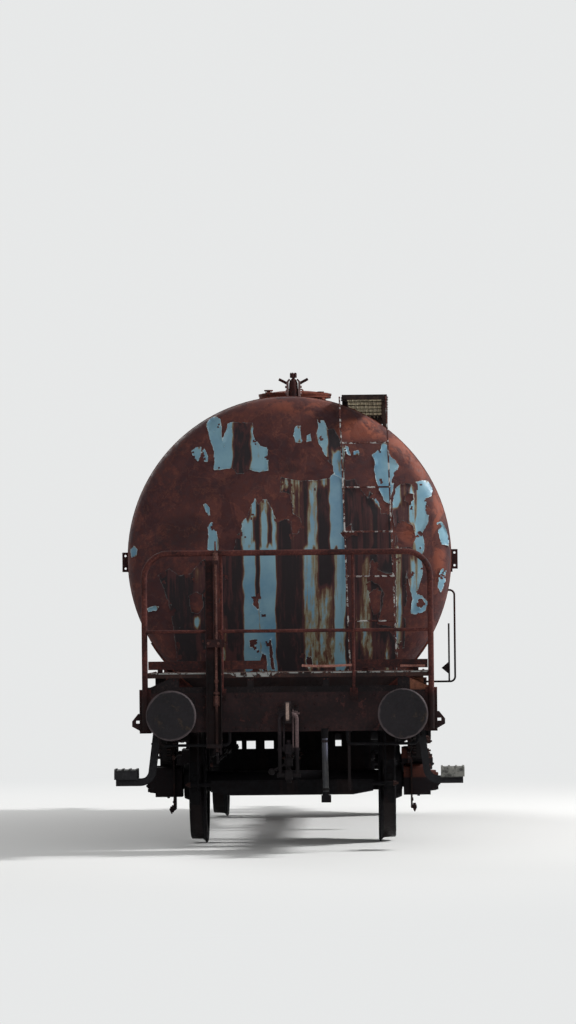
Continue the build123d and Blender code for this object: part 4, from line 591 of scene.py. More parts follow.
@dataclass(frozen=True)
class DiscFinish(Finish):
    """Buffer face: dark greasy steel, scuffed in rings, with a worn rim."""

    gloss: float = 0.2
    radius: float = 0.19
    palette: Palette = ((13, 12, 15), (23, 20, 24), (46, 39, 36))

    def look(self, w: Surface) -> Look:
        """Gives the scuffed face.

        Args:
            w: The material's wiring.

        Returns:
            Its colour, roughness and normal.
        """
        low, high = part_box("buffer_heads")
        x, _, z = w.split(w.place)
        away_x = abs(x) - float(high[0] - self.radius)
        away_z = z - float((low[2] + high[2]) / 2)
        reach = w.math("SQRT", away_x * away_x + away_z * away_z)
        colour, height, roughness = w.rust(w.place, 2.0, self.palette, 0.3)
        worn = w.step(reach + w.noise(w.place, 9.0, 5.0, 0.65) * 0.05, 0.198, 0.212)
        colour = w.mix(worn * 0.6, colour, (78, 68, 70))
        scuff = w.noise(w.joined(reach * 60.0, 0.0, w.noise(w.place, 3.0) * 2.0), 1.0, 3.0)
        colour = w.mix(w.step(scuff, 0.5, 0.7, 0.0, 0.35), colour, (24, 20, 21))
        moss = w.noise(w.scaled(w.place, (1, 1, 1), (2, 5, 1)), 12.0, 5.0, 0.7)
        colour = w.mix(w.step(moss, 0.58, 0.7, 0.0, 0.5), colour, (62, 49, 35))
        return colour, roughness - worn * 0.2, w.bump(height + scuff * 0.4, 0.0012)


@dataclass(frozen=True)
class DeckFinish(Finish):
    """Tread plate of the platform: raised lozenges under rust and dirt, and paint left on its front edge."""

    gloss: float = 0.15
    pitch: float = 0.038
    palette: Palette = ((20, 15, 16), (48, 32, 30), (96, 64, 50))

    def look(self, w: Surface) -> Look:
        """Gives the tread plate.

        Args:
            w: The material's wiring.

        Returns:
            Its colour, roughness and normal.
        """
        x, y, z = w.split(w.place)
        low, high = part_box("platform_deck")
        front, top = float(low[1]), float(high[2])
        colour, height, roughness = w.rust(w.place, 1.6, self.palette, 0.4)
        turn = math.pi / self.pitch
        along, aside = (w.step(abs(w.math("SINE", way * turn)), 0.93, 0.98) for way in (x + y, x - y))
        tile = w.step(w.math("SINE", x * turn) * w.math("SINE", y * turn), -0.05, 0.05)
        ridge = (along * tile + aside * (1.0 - tile)) * w.step(z, top - 0.004, top - 0.002)
        colour = w.mix(ridge * 0.5, colour, (118, 82, 64))
        patch = w.step(x, -0.45, -0.40) * w.step(x, -0.09, -0.13)
        edge = w.step(z - (top - 0.011 - patch * 0.024), 0.0, 0.003) * w.step(y, front + 0.03, front + 0.012)
        colour = w.mix(w.use("flakes", w.place, 11.0, 0.54)[0] * edge, colour, (132, 134, 132))
        return colour, roughness, w.bump(height, 0.001, w.bump(ridge, 0.0016))


@dataclass(frozen=True)
class StepFinish(Finish):
    """Dark step arms, with painted light on the ribs of their treads, strong on the right step and faint on
    the left.
    """

    gloss: float = 0.25
    tread_from: float = 1.155
    palette: Palette = ((7, 7, 11), (13, 12, 17), (36, 30, 31))

    def look(self, w: Surface) -> Look:
        """Gives the steps, with painted light on their treads.

        Args:
            w: The material's wiring.

        Returns:
            Its colour, roughness and normal.
        """
        colour, height, roughness = w.rust(w.place, 1.8, self.palette, 0.3)
        x, _, z = w.split(w.place)
        tread = w.step(abs(x), self.tread_from, self.tread_from + 0.01) * w.step(z, 0.545, 0.565)
        # Painted light on the treads' ribs: grey, strong on the right step, faint on the left, broken up by
        # noise
        painted_tread_light = w.step(x, -0.1, 0.1, 0.0, 0.8) + w.step(z, 0.615, 0.635, 0.0, 0.12)
        light_patches = w.step(w.noise(w.place, 22.0, 5.0, 0.65), 0.38, 0.58, 0.25, 1.0)
        colour = w.mix(tread * painted_tread_light * light_patches, colour, (128, 128, 122))
        return colour, roughness - tread * 0.15, w.bump(height, 0.0012)


@dataclass(frozen=True)
class WheelFinish(Finish):
    """Dark rolled steel under brake dust, rubbed brighter on the tread."""

    tread_radius: float = 0.46
    palette: Palette = ((5, 5, 8), (10, 8, 12), (32, 22, 21))

    def look(self, w: Surface) -> Look:
        """Gives the wheels' steel.

        Args:
            w: The material's wiring.

        Returns:
            Its colour, roughness and normal.
        """
        colour, height, roughness = w.rust(w.place, 1.6, self.palette, 0.2)
        x, y, z = w.split(w.place)
        front, rear = (sum(corner[1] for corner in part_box(f"{end}_axle")) / 2 for end in ("front", "rear"))
        axle_z = sum(corner[2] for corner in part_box("front_axle")) / 2
        away = w.math("MINIMUM", abs(y - front), abs(y - rear))
        rise = z - float(axle_z)
        reach = w.math("SQRT", away * away + rise * rise)
        tread = w.step(reach, self.tread_radius - 0.006, self.tread_radius - 0.002)
        rubbed = tread * w.step(abs(x), 0.71, 0.73)
        return w.mix(rubbed * 0.3, colour, (44, 34, 32)), roughness - rubbed * 0.25, w.bump(height, 0.0012)


@dataclass(frozen=True)
class RubberFinish(Finish):
    """Black rubber hose with dust in its weave, and painted light on its upper right side."""

    gloss: float = 0.5

    def look(self, w: Surface) -> Look:
        """Gives the hose's rubber.

        Args:
            w: The material's wiring.

        Returns:
            Its colour, roughness and normal.
        """
        dust = w.noise(w.place, 30.0, 5.0, 0.6)
        x, _, z = w.split(w.place)
        # Painted light: a grey-blue sheen on the hose's upper part, strongest on its right side
        painted_hose_light = w.step(z + dust * 0.1, 0.72, 0.86) * w.step(x, 0.280, 0.296, 0.1, 1.0)
        colour = w.mix(w.step(dust, 0.42, 0.72), (7, 7, 11), (20, 20, 28))
        colour = w.mix(painted_hose_light * 0.85, colour, (116, 118, 138))
        return colour, w.step(dust, 0.3, 0.7, 0.5, 0.8), w.bump(w.noise(w.place, 220.0, 2.0), 0.0006)


PALE = (146, 170, 178)
# Columns: name, dark, middle and bright colour, the rest where it differs from a plain rusted piece
RUSTED = (
    ("fittings", (50, 24, 22), (92, 46, 36), (136, 80, 58),
     dict(paint=PALE, paint_cover=0.12, paint_scale=5.0, runs=0.3)),
    ("post", (26, 16, 18), (52, 28, 28), (100, 56, 46),
     dict(paint=PALE, paint_cover=0.16, paint_scale=14.0, runs=0.2, scale=2.0)),
    ("strap", (66, 50, 52), (128, 104, 102), (176, 160, 158), dict(share=0.5, runs=0.2, scale=3.0)),
    ("seam", (54, 27, 25), (92, 46, 36), (136, 80, 58), dict(runs=0.3)),
    ("walkway", (22, 17, 18), (48, 36, 34), (92, 76, 66),
     dict(runs=0.4, paint=(116, 122, 124), paint_cover=0.12, paint_scale=9.0)),
    ("mesh", (98, 90, 76), (152, 143, 122), (194, 186, 164), dict(share=0.6, runs=0.1, scale=3.0)),
    ("ladder", (50, 26, 26), (84, 48, 44), (140, 106, 96),
     dict(share=0.5, paint=(176, 174, 172), paint_cover=0.42, paint_scale=12.0, runs=0.1, scale=2.0)),
    ("railing", (38, 20, 20), (72, 38, 35), (122, 76, 66), dict(runs=0.2, scale=1.8, painted_shade_below=1.22)),
    ("toe_board", (28, 16, 18), (58, 31, 29), (104, 62, 52), dict(runs=0.35, scale=1.4)),
    ("bare_strip", (96, 62, 56), (140, 96, 86), (184, 150, 138), dict(runs=0.1, scale=3.0)),
    ("column", (20, 13, 15), (44, 25, 25), (88, 54, 48), dict(runs=0.3, scale=1.6, painted_shade_below=1.5)),
    ("spindle", (42, 28, 28), (88, 58, 52), (150, 114, 102), dict(runs=0.1, scale=2.4, painted_shade_below=1.1)),
    # supports: the box is painted sunlight on the right gusset
    ("supports", (12, 10, 12), (25, 20, 22), (66, 54, 52),
     dict(share=0.5, runs=0.4, scale=1.8, painted_light_box=(0.93, 1.2, 1.222, 1.31), painted_light_colour=(122, 78, 60))),
    # underframe: rusted steel, made near-black as painted shade of the wagon's underside
    ("underframe", (4, 4, 7), (9, 8, 11), (32, 21, 20), dict(share=0.2)),
    ("guard_foot", (12, 9, 10), (28, 19, 19), (74, 46, 38), dict(share=0.35, runs=0.3, scale=1.6)),
    ("buffer_housing", (16, 12, 14), (32, 24, 25), (70, 48, 42), dict(runs=0.3, scale=1.4)),
    # axle_box: the box is painted sunlight on the upper half of the right axle boxes
    ("axle_box", (10, 8, 11), (20, 15, 18), (46, 31, 30),
     dict(share=0.35, runs=0.25, scale=1.6, painted_light_box=(0.86, 1.2, 0.50, 0.62), painted_light_colour=(80, 44, 36))),
    ("spring", (8, 6, 8), (16, 12, 13), (42, 30, 27), dict(runs=0.2, scale=2.0)),
    # coupling: the box is painted light on the right leg
    ("coupling", (15, 12, 15), (32, 26, 29), (74, 62, 60),
     dict(runs=0.2, scale=2.5, painted_shade_below=0.74, painted_light_box=(0.03, 0.095, 0.79, 1.10), painted_light_colour=(104, 86, 86))),
    # worn_hook: the box is worn bright steel with a painted highlight on the hook
    ("worn_hook", (18, 14, 16), (36, 28, 29), (78, 62, 58),
     dict(runs=0.1, scale=3.0, painted_light_box=(-0.016, 0.012, 1.0, 1.13), painted_light_colour=(168, 146, 136))),
    ("bolts", (22, 15, 16), (46, 30, 28), (92, 60, 48), dict(runs=0.1, scale=3.0)),
    ("arm", (10, 8, 10), (20, 15, 16), (52, 36, 32), dict(runs=0.3, scale=1.8)),
    ("plate", (52, 42, 38), (92, 82, 74), (140, 128, 112), dict(runs=0.3, scale=2.2)),
)


FINISHES: tuple[Finish, ...] = (
    *(RustFinish(name, palette=colours, **rest) for name, *colours, rest in RUSTED),
    BareEndFinish("front_end"),
    SkinFinish("front_paint"),
    ShellFinish("rear_end"),
    ShellFinish("barrel", wraps=True),
    DeckFinish("deck"),
    HeadstockFinish("headstock"),
    DiscFinish("buffer_face"),
    StepFinish("step"),
    WheelFinish("wheel"),
    RubberFinish("rubber"),
)
# Each row: a finish, then the nodes that wear it. The wheelsets wear wheel, all others underframe.
WORN = (
    "front_end front_tank_end",
    "rear_end rear_tank_end",
    "barrel tank_barrel",
    "column tank_lugs handbrake_column grab_rail",
    "fittings manhole_neck manhole_lid manhole_bolts",
    "post valve_post",
    "walkway walkway_frame walkway_grating",
    "ladder end_ladder",
    "railing railing_posts end_railing tank_saddles",
    "toe_board toe_boards",
    "spindle handbrake_spindle",
    "coupling handbrake_linkage screw_couplings",
    "deck platform_deck",
    "supports platform_supports",
    "step side_steps",
    "headstock front_headstock rear_headstock",
    "buffer_housing buffer_housings",
    "buffer_face buffer_heads",
    "axle_box axle_boxes",
    "guard_foot axle_guards",
    "spring leaf_springs spring_shackles",
    "worn_hook draw_hooks",
    "rubber brake_hose",
)


@cache
def material_of(name: str) -> bpy.types.Material:
    """Gives a finish's material, made on first use."""
    return next(finish for finish in FINISHES if finish.name == name).material()


def dress_nodes() -> None:
    """Gives every CAD node its finish."""
    finish_of = {node: row.split()[0] for row in WORN for node in row.split()[1:]}
    for name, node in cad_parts.items():
        usual = "wheel" if name.endswith(("wheel", "axle")) else "underframe"
        for slot in node.material_slots:
            slot.material = material_of(finish_of.get(name, usual))


class Fixing(Enum):
    """Kinds of fixing that hold the steelwork together."""

    BOLT = "bolt"
    NUT = "nut"
    RIVET = "rivet"


BOLT, NUT, RIVET = Fixing


def around(middle: float, half: float) -> tuple[float, float]:
    """Gives both ends of a span from its middle."""
    return (middle - half, middle + half)


def each(span: Span) -> tuple[float, ...]:
    """Gives a number or several numbers as a row."""
    return span if isinstance(span, tuple) else (span,)


def circle(radius: float, degrees: float) -> tuple[float, float]:
    """Gives the two coordinates of a point on a circle."""
    turn = math.radians(degrees)
    return radius * math.cos(turn), radius * math.sin(turn)


class Bench:
    """A mesh under work: operators add parts to it, and it leaves as one finished piece."""

    sharp_angle = 0.6

    def __init__(self) -> None:
        """Clears the bench."""
        self.mesh = bmesh.new()

    @staticmethod
    def aimed(place: Point, way: Point) -> Matrix:
        """Gives the frame at a place whose Z points a way."""
        return Matrix.Translation(place) @ Vector(way).to_track_quat("Z", "Y").to_matrix().to_4x4()

    def soften(self, made: dict[str, list], width: float) -> None:
        """Bevels the sharp edges of a new shape.

        Args:
            made: What the operator made.
            width: Width of the bevel, zero for none.
        """
        if width:
            edges = {edge for vert in made["verts"] for edge in vert.link_edges}
            sharp = [edge for edge in edges if edge.calc_face_angle(0.0) > self.sharp_angle]
            style = {"affect": "EDGES", "segments": 1, "profile": 0.5, "material": -1}
            bmesh.ops.bevel(self.mesh, geom=sharp, offset=width, offset_type="OFFSET", **style)

    def cone(
        self, place: Matrix, depth: float, radius: float, far: float, sides: int, soften: float = 0.0
    ) -> None:
        """Adds a cone or a prism.

        Args:
            place: The frame of its middle, with Z along its axis.
            depth: Its length.
            radius: Radius at its first end.
            far: Radius at its other end.
            sides: Number of its sides.
            soften: Width of the bevel on its rims.
        """
        made = bmesh.ops.create_cone(
            self.mesh, cap_ends=True, segments=sides, radius1=radius, radius2=far, depth=depth, matrix=place
        )
        self.soften(made, soften)

    def rod(
        self, start: Point, end: Point, radius: float, sides: int = 12, soften: float = 0.0, far: float = 0.0
    ) -> None:
        """Adds a straight rod or cone.

        Args:
            start: Middle of its first end.
            end: Middle of its other end.
            radius: Radius at its first end.
            sides: Number of its sides.
            soften: Width of the bevel on its rims.
            far: Radius at its other end, where it differs.
        """
        way = Vector(end) - Vector(start)
        place = self.aimed((Vector(start) + Vector(end)) / 2, way)
        self.cone(place, way.length, radius, far or radius, sides, soften)

    def box(
        self, x: Span, y: Span, z: Span, soften: float = 0.001, turn: float = 0.0, axis: str = "X"
    ) -> None:
        """Adds a flat bar or block.

        Args:
            x: Both ends of its span in x, in any order, as in y and z.
            y: Its span in y.
            z: Its span in z.
            soften: Width of the bevel on its edges.
            turn: Angle that it is turned about its own middle, in degrees.
            axis: Axis that it turns about.
        """
        low, high = (Vector(pick(span) for span in (x, y, z)) for pick in (min, max))
        place = Matrix.Translation((low + high) / 2) @ Matrix.Rotation(math.radians(turn), 4, axis)
        place = place @ Matrix.Diagonal((*(high - low), 1.0))
        self.soften(bmesh.ops.create_cube(self.mesh, size=1.0, matrix=place), soften)

    def bar(self, start: Point, end: Point, wide: float, deep: float, across: Point = RIGHT) -> None:
        """Adds a flat bar from one point to another.

        Args:
            start: Middle of its first end.
            end: Middle of its other end.
            wide: Its width along the direction across.
            deep: Its depth square to that.
            across: Direction of its width.
        """
        way = Vector(end) - Vector(start)
        along = way.normalized()
        side = (Vector(across) - along * along.dot(Vector(across))).normalized()
        place = Matrix((side, along.cross(side), along)).transposed().to_4x4()
        place.translation = (Vector(start) + Vector(end)) / 2
        place = place @ Matrix.Diagonal((wide, deep, way.length, 1.0))
        self.soften(bmesh.ops.create_cube(self.mesh, size=1.0, matrix=place), 0.001)

    def spin(self, geom: list, centre: Point, axis: Point, steps: int) -> list:
        """Turns an outline once round an axis.

        Args:
            geom: The outline.
            centre: A point on the axis.
            axis: Direction of the axis.
            steps: Number of steps round it.

        Returns:
            What the last step made.
        """
        return bmesh.ops.spin(
            self.mesh, geom=geom, cent=centre, axis=Vector(axis).normalized(), angle=2 * math.pi,
            steps=steps, use_merge=True, use_duplicate=False,
        )["geom_last"]

    def hoop(
        self, centre: Point, axis: Point, radius: float, thickness: float,
        steps: int = 48, sides: int = 6, flat: float = 1.0,
    ) -> None:
        """Adds a ring of round section.

        Args:
            centre: Its middle.
            axis: Direction of its axis.
            radius: Radius of its middle line.
            thickness: Radius of its section.
            steps: Number of steps round it.
            sides: Number of sides of its section.
            flat: Height of its section along the axis, as a share of its width.
        """
        section = self.aimed(centre, axis) @ Matrix.Translation((radius, 0, 0))
        section = section @ Matrix.Rotation(math.pi / 2, 4, "X") @ Matrix.Diagonal((1, flat, 1, 1))
        verts = bmesh.ops.create_circle(self.mesh, segments=sides, radius=thickness, matrix=section)["verts"]
        self.spin(verts + list({edge for vert in verts for edge in vert.link_edges}), centre, axis, steps)

    def turned(self, centre: Point, axis: Point, profile: Outline, steps: int = 32) -> None:
        """Adds a shape turned on a lathe.

        Args:
            centre: Where its axis starts.
            axis: Direction of its axis.
            profile: Distance along the axis and radius, from end to end.
            steps: Number of steps round it.
        """
        place = self.aimed(centre, axis)
        verts = [self.mesh.verts.new(place @ Vector((radius, 0, along))) for along, radius in profile]
        edges = [self.mesh.edges.new(pair) for pair in zip(verts, verts[1:])]
        last = self.spin(verts + edges, centre, axis, steps)
        near = {vert for item in last for vert in getattr(item, "verts", [item]) if vert.is_valid}
        near |= {vert for vert in self.mesh.verts if vert.is_boundary}
        bmesh.ops.remove_doubles(self.mesh, verts=list(near), dist=1e-5)

    def tube(self, route: tuple[Point, ...], radius: float, sides: int = 8, closed: bool = False) -> None:
        """Adds a round bar that is bent along a route.

        Args:
            route: The points of its middle line.
            radius: Its radius.
            sides: Number of its sides.
            closed: True joins its end to its start.
        """
        points = [Vector(point) for point in route]
        ways = []
        for index, point in enumerate(points):
            behind = points[index - 1] if closed or index else point
            ahead = points[(index + 1) % len(points)] if closed or index + 1 < len(points) else point
            ways.append((ahead - behind).normalized())
        turn = ways[0].to_track_quat("Z", "Y")
        place = Matrix.Translation(points[0]) @ turn.to_matrix().to_4x4()
        style = {"cap_ends": not closed, "segments": sides, "radius": radius, "matrix": place}
        verts = bmesh.ops.create_circle(self.mesh, **style)["verts"]
        loop = list({edge for vert in verts for edge in vert.link_edges})
        first = loop
        for index in range(1, len(points)):
            turn = ways[index - 1].rotation_difference(ways[index]) @ turn
            onward = Matrix.Translation(points[index]) @ turn.to_matrix().to_4x4()
            grown = bmesh.ops.extrude_edge_only(self.mesh, edges=loop)["geom"]
            verts = [item for item in grown if isinstance(item, bmesh.types.BMVert)]
            edges = [item for item in grown if isinstance(item, bmesh.types.BMEdge)]
            loop = [edge for edge in edges if all(vert in verts for vert in edge.verts)]
            bmesh.ops.transform(self.mesh, matrix=onward @ place.inverted(), verts=verts)
            place = onward
        if closed:
            bmesh.ops.bridge_loops(self.mesh, edges=first + loop)
        else:
            bmesh.ops.contextual_create(self.mesh, geom=loop)

    def fix(self, kind: Fixing, x: Span, y: Span, z: Span, way: Point, size: float) -> None:
        """Adds a bolt head, a nut on its bolt or a rivet head, at every crossing of the given places.

        Args:
            kind: Which fixing.
            x: Its place in x, or several, as in y and z.
            y: Its place in y.
            z: Its place in z.
            way: Direction away from the steel.
            size: Its width.
        """
        # Columns: start and end of each part, its two radii as shares of the width, number of sides
        parts = [(-0.02, 0.12, 0.68, 0.66, 10), (0.12, 0.68, 0.577, 0.54, 6), (0.6, 1.15, 0.27, 0.24, 8)]
        for place in product(each(x), each(y), each(z)):
            here = self.aimed(place, way)
            if kind is RIVET:
                dome = here @ Matrix.Diagonal((size, size, 0.7 * size, 1))
                bmesh.ops.create_uvsphere(self.mesh, u_segments=10, v_segments=6, radius=0.5, matrix=dome)
                continue
            for start, end, low, high, sides in parts[: 3 if kind is NUT else 2]:
                middle = here @ Matrix.Translation((0, 0, size * (start + end) / 2))
                self.cone(middle, size * (end - start), size * low, size * high, sides)

    def ring_of(
        self, kind: Fixing, count: int, centre: Point, way: Point,
        radius: float, size: float, turn: float = 0.0,
    ) -> None:
        """Adds fixings in a circle.

        Args:
            kind: Which fixing.
            count: How many.
            centre: Middle of the circle.
            way: Direction away from the steel.
            radius: Radius of the circle.
            size: Width of each.
            turn: Angle of the first, in degrees.
        """
        for index in range(count):
            place = self.aimed(centre, way) @ Vector((*circle(radius, turn + 360 * index / count), 0))
            self.fix(kind, *place, way, size)

    def mirrored(self, *axes: str) -> None:
        """Adds the mirror image of everything, across the wagon for X and end for end for Y."""
        for axis in axes:
            geom = [*self.mesh.verts, *self.mesh.edges, *self.mesh.faces]
            bmesh.ops.mirror(self.mesh, geom=geom, matrix=Matrix.Identity(4), merge_dist=0.0, axis=axis)

    def finish(
        self, name: str, finish: str, slot: str, body: str = WAGON, replaced: str = "", closed: bool = True
    ) -> bpy.types.Object:
        """Turns the work into a piece.

        Args:
            name: The piece's name.
            finish: Its finish.
            slot: Not used.
            body: The body that it rides on.
            replaced: The CAD node that it stands for.
            closed: False for an open film, whose faces already point outwards.

        Returns:
            The finished piece.
        """
        if closed:
            bmesh.ops.recalc_face_normals(self.mesh, faces=self.mesh.faces)
        data = bpy.data.meshes.new(name)
        self.mesh.to_mesh(data)
        self.mesh.free()
        data.shade_smooth()
        data.set_sharp_from_angle(angle=math.radians(35))
        data.materials.append(material_of(finish))
        piece = stand(name, data)
        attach(piece, body)
        if replaced:
            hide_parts(replaced)
        log.info("%s: %d faces, rides on %s", name, len(data.polygons), body)
        return piece


def stand(name: str, data: bpy.types.ID) -> bpy.types.Object:
    """Stands a mesh, curve, lamp or camera in the scene.

    Args:
        name: The object's name.
        data: What it shows.

    Returns:
        The object.
    """
    made = bpy.data.objects.new(name, data)
    bpy.context.scene.collection.objects.link(made)
    return made


# Each row: the corners of one outline, as x and z in metres
PAINTED = (
    ((-0.637, 3.319), (-0.61, 3.362), (-0.571, 3.378), (-0.531, 3.354), (-0.52, 3.25), (-0.508, 3.178),
     (-0.484, 3.256), (-0.476, 3.307), (-0.453, 3.319), (-0.271, 3.327), (-0.269, 3.256), (-0.249, 3.178),
     (-0.206, 3.133), (-0.151, 3.119), (-0.151, 2.935), (-0.218, 2.923), (-0.271, 2.931), (-0.304, 2.95),
     (-0.347, 2.923), (-0.402, 2.923), (-0.433, 2.97), (-0.476, 2.962), (-0.527, 2.947), (-0.582, 2.95),
     (-0.578, 3.044), (-0.586, 3.123), (-0.61, 3.221)),
    ((-0.755, 3.103), (-0.716, 3.135), (-0.68, 3.131), (-0.68, 3.072), (-0.708, 3.021), (-0.739, 3.06)),
    ((-0.665, 3.099), (-0.649, 3.115), (-0.629, 3.068), (-0.633, 3.013), (-0.659, 3.021)),
    ((0.041, 3.213), (0.064, 3.287), (0.103, 3.295), (0.1, 3.229), (0.121, 3.178), (0.107, 3.158),
     (0.068, 3.166)),
    ((0.15, 3.217), (0.186, 3.229), (0.186, 3.174), (0.154, 3.166)),
    ((0.233, 3.338), (0.284, 3.327), (0.299, 3.287), (0.311, 3.252), (0.358, 3.256), (0.425, 3.162),
     (0.444, 3.103), (0.44, 2.868), (0.362, 2.9), (0.354, 2.97), (0.311, 3.017), (0.272, 3.103),
     (0.241, 3.166), (0.229, 3.229), (0.245, 3.272)),
    ((0.448, 3.135), (0.476, 3.123), (0.495, 3.052), (0.468, 3.056)),
    ((0.515, 3.088), (0.566, 3.095), (0.566, 3.052), (0.523, 3.044)),
    ((0.656, 3.06), (0.699, 3.092), (0.73, 3.095), (0.734, 3.146), (0.774, 3.15), (0.793, 3.099),
     (0.801, 3.044), (0.84, 3.013), (0.864, 2.97), (0.844, 2.911), (0.817, 2.884), (0.801, 2.837),
     (0.828, 2.837), (0.809, 2.77), (0.797, 2.657), (0.75, 2.692), (0.723, 2.751), (0.699, 2.829),
     (0.679, 2.927), (0.672, 3.005)),
    ((-0.535, 1.36), (-0.535, 2.28), (-0.461, 2.308), (-0.418, 2.339), (-0.402, 2.437), (-0.363, 2.48),
     (-0.359, 2.535), (-0.32, 2.57), (-0.288, 2.672), (-0.257, 2.723), (-0.237, 2.672), (-0.202, 2.711),
     (-0.159, 2.715), (-0.139, 2.672), (-0.104, 2.594), (-0.085, 2.535), (-0.03, 2.555), (0.025, 2.535),
     (0.033, 2.437), (0.064, 2.437), (0.101, 2.515), (0.092, 2.564), (0.033, 2.594), (0.025, 2.672),
     (0.013, 2.751), (-0.026, 2.774), (-0.061, 2.77), (-0.055, 2.888), (0.033, 2.86), (0.15, 2.86),
     (0.233, 2.856), (0.327, 2.872), (0.35, 2.907), (0.435, 2.868), (0.542, 2.868), (0.572, 2.77),
     (0.621, 2.711), (0.64, 2.77), (0.711, 2.672), (0.738, 2.594), (0.797, 2.594), (0.813, 2.339),
     (0.813, 2.124), (0.738, 2.139), (0.691, 2.163), (0.66, 2.241), (0.64, 2.202), (0.629, 2.084),
     (0.707, 2.026), (0.742, 1.967), (0.715, 1.81), (0.679, 1.732), (0.817, 1.712), (0.846, 1.497),
     (0.817, 1.36)),
    ((0.836, 2.79), (0.875, 2.829), (0.915, 2.837), (0.973, 2.829), (1.005, 2.845), (1.056, 2.852),
     (1.091, 2.849), (1.134, 2.774), (1.122, 2.731), (1.075, 2.711), (1.099, 2.594), (1.087, 2.515),
     (1.04, 2.437), (1.063, 2.359), (1.048, 2.241), (1.044, 2.124), (1.02, 2.026), (0.993, 1.967),
     (1.042, 1.947), (1.091, 1.889), (1.067, 1.83), (0.993, 1.798), (0.946, 1.81), (0.958, 1.928),
     (0.942, 2.026), (0.915, 2.124), (0.911, 1.732), (0.895, 1.536), (0.832, 1.536), (0.836, 2.182),
     (0.832, 2.32), (0.824, 2.476), (0.817, 2.633)),
    ((1.161, 2.515), (1.201, 2.527), (1.232, 2.476), (1.252, 2.398), (1.252, 2.335), (1.193, 2.351),
     (1.169, 2.437)),
    ((1.173, 2.124), (1.201, 2.173), (1.232, 2.143), (1.216, 2.026), (1.185, 1.967), (1.161, 2.006)),
    ((-0.661, 2.684), (-0.633, 2.696), (-0.606, 2.649), (-0.606, 2.594), (-0.629, 2.602)),
    ((-0.629, 2.504), (-0.598, 2.539), (-0.571, 2.515), (-0.555, 2.418), (-0.551, 2.32), (-0.629, 2.327)),
    ((-1.025, 2.124), (-0.935, 2.182), (-0.868, 2.124), (-0.77, 2.143), (-0.692, 2.237), (-0.653, 2.261),
     (-0.653, 1.418), (-0.751, 1.418), (-0.888, 1.438), (-0.917, 1.732), (-0.947, 1.928), (-0.986, 2.026)),
    ((-1.248, 2.339), (-1.217, 2.374), (-1.19, 2.339), (-1.201, 2.28), (-1.237, 2.269)),
    ((-1.119, 1.869), (-1.064, 1.889), (-1.021, 1.877), (-1.045, 1.849), (-1.088, 1.845), (-1.103, 1.806)),
)
# Each row: the corners of one outline, as x and z in metres
FLAKED_OFF = (
    ((0.401, 2.437), (0.435, 2.472), (0.487, 2.515), (0.499, 2.433), (0.444, 2.394)),
    ((0.513, 3.035), (0.621, 3.025), (0.644, 2.849), (0.542, 2.819), (0.523, 2.907)),
    ((0.621, 1.967), (0.66, 2.002), (0.719, 1.986), (0.711, 1.83), (0.66, 1.794), (0.632, 1.889)),
    ((-0.288, 1.904), (-0.261, 1.955), (-0.237, 1.904), (-0.241, 1.849), (-0.265, 1.869)),
    ((0.911, 2.731), (0.938, 2.762), (0.977, 2.751), (0.973, 2.7), (0.938, 2.68), (0.911, 2.696)),
    ((0.84, 2.476), (0.895, 2.535), (0.973, 2.496), (0.993, 2.398), (0.966, 2.339), (0.856, 2.32)),
    ((1.005, 1.918), (1.04, 1.928), (1.063, 1.879), (1.024, 1.849), (1.001, 1.873)),
    ((-0.23, 1.438), (-0.214, 1.516), (-0.183, 1.497), (-0.171, 1.418), (-0.202, 1.36)),
    ((-0.159, 1.614), (-0.143, 1.622), (-0.128, 1.516), (-0.12, 1.379), (-0.143, 1.379)),
    ((-0.32, 1.606), (-0.281, 1.622), (-0.269, 1.563), (-0.304, 1.552)),
    ((0.135, 1.457), (0.17, 1.489), (0.182, 1.418), (0.15, 1.387)),
    ((-0.786, 1.967), (-0.731, 1.994), (-0.68, 1.975), (-0.668, 1.889), (-0.712, 1.83), (-0.77, 1.842)),
)
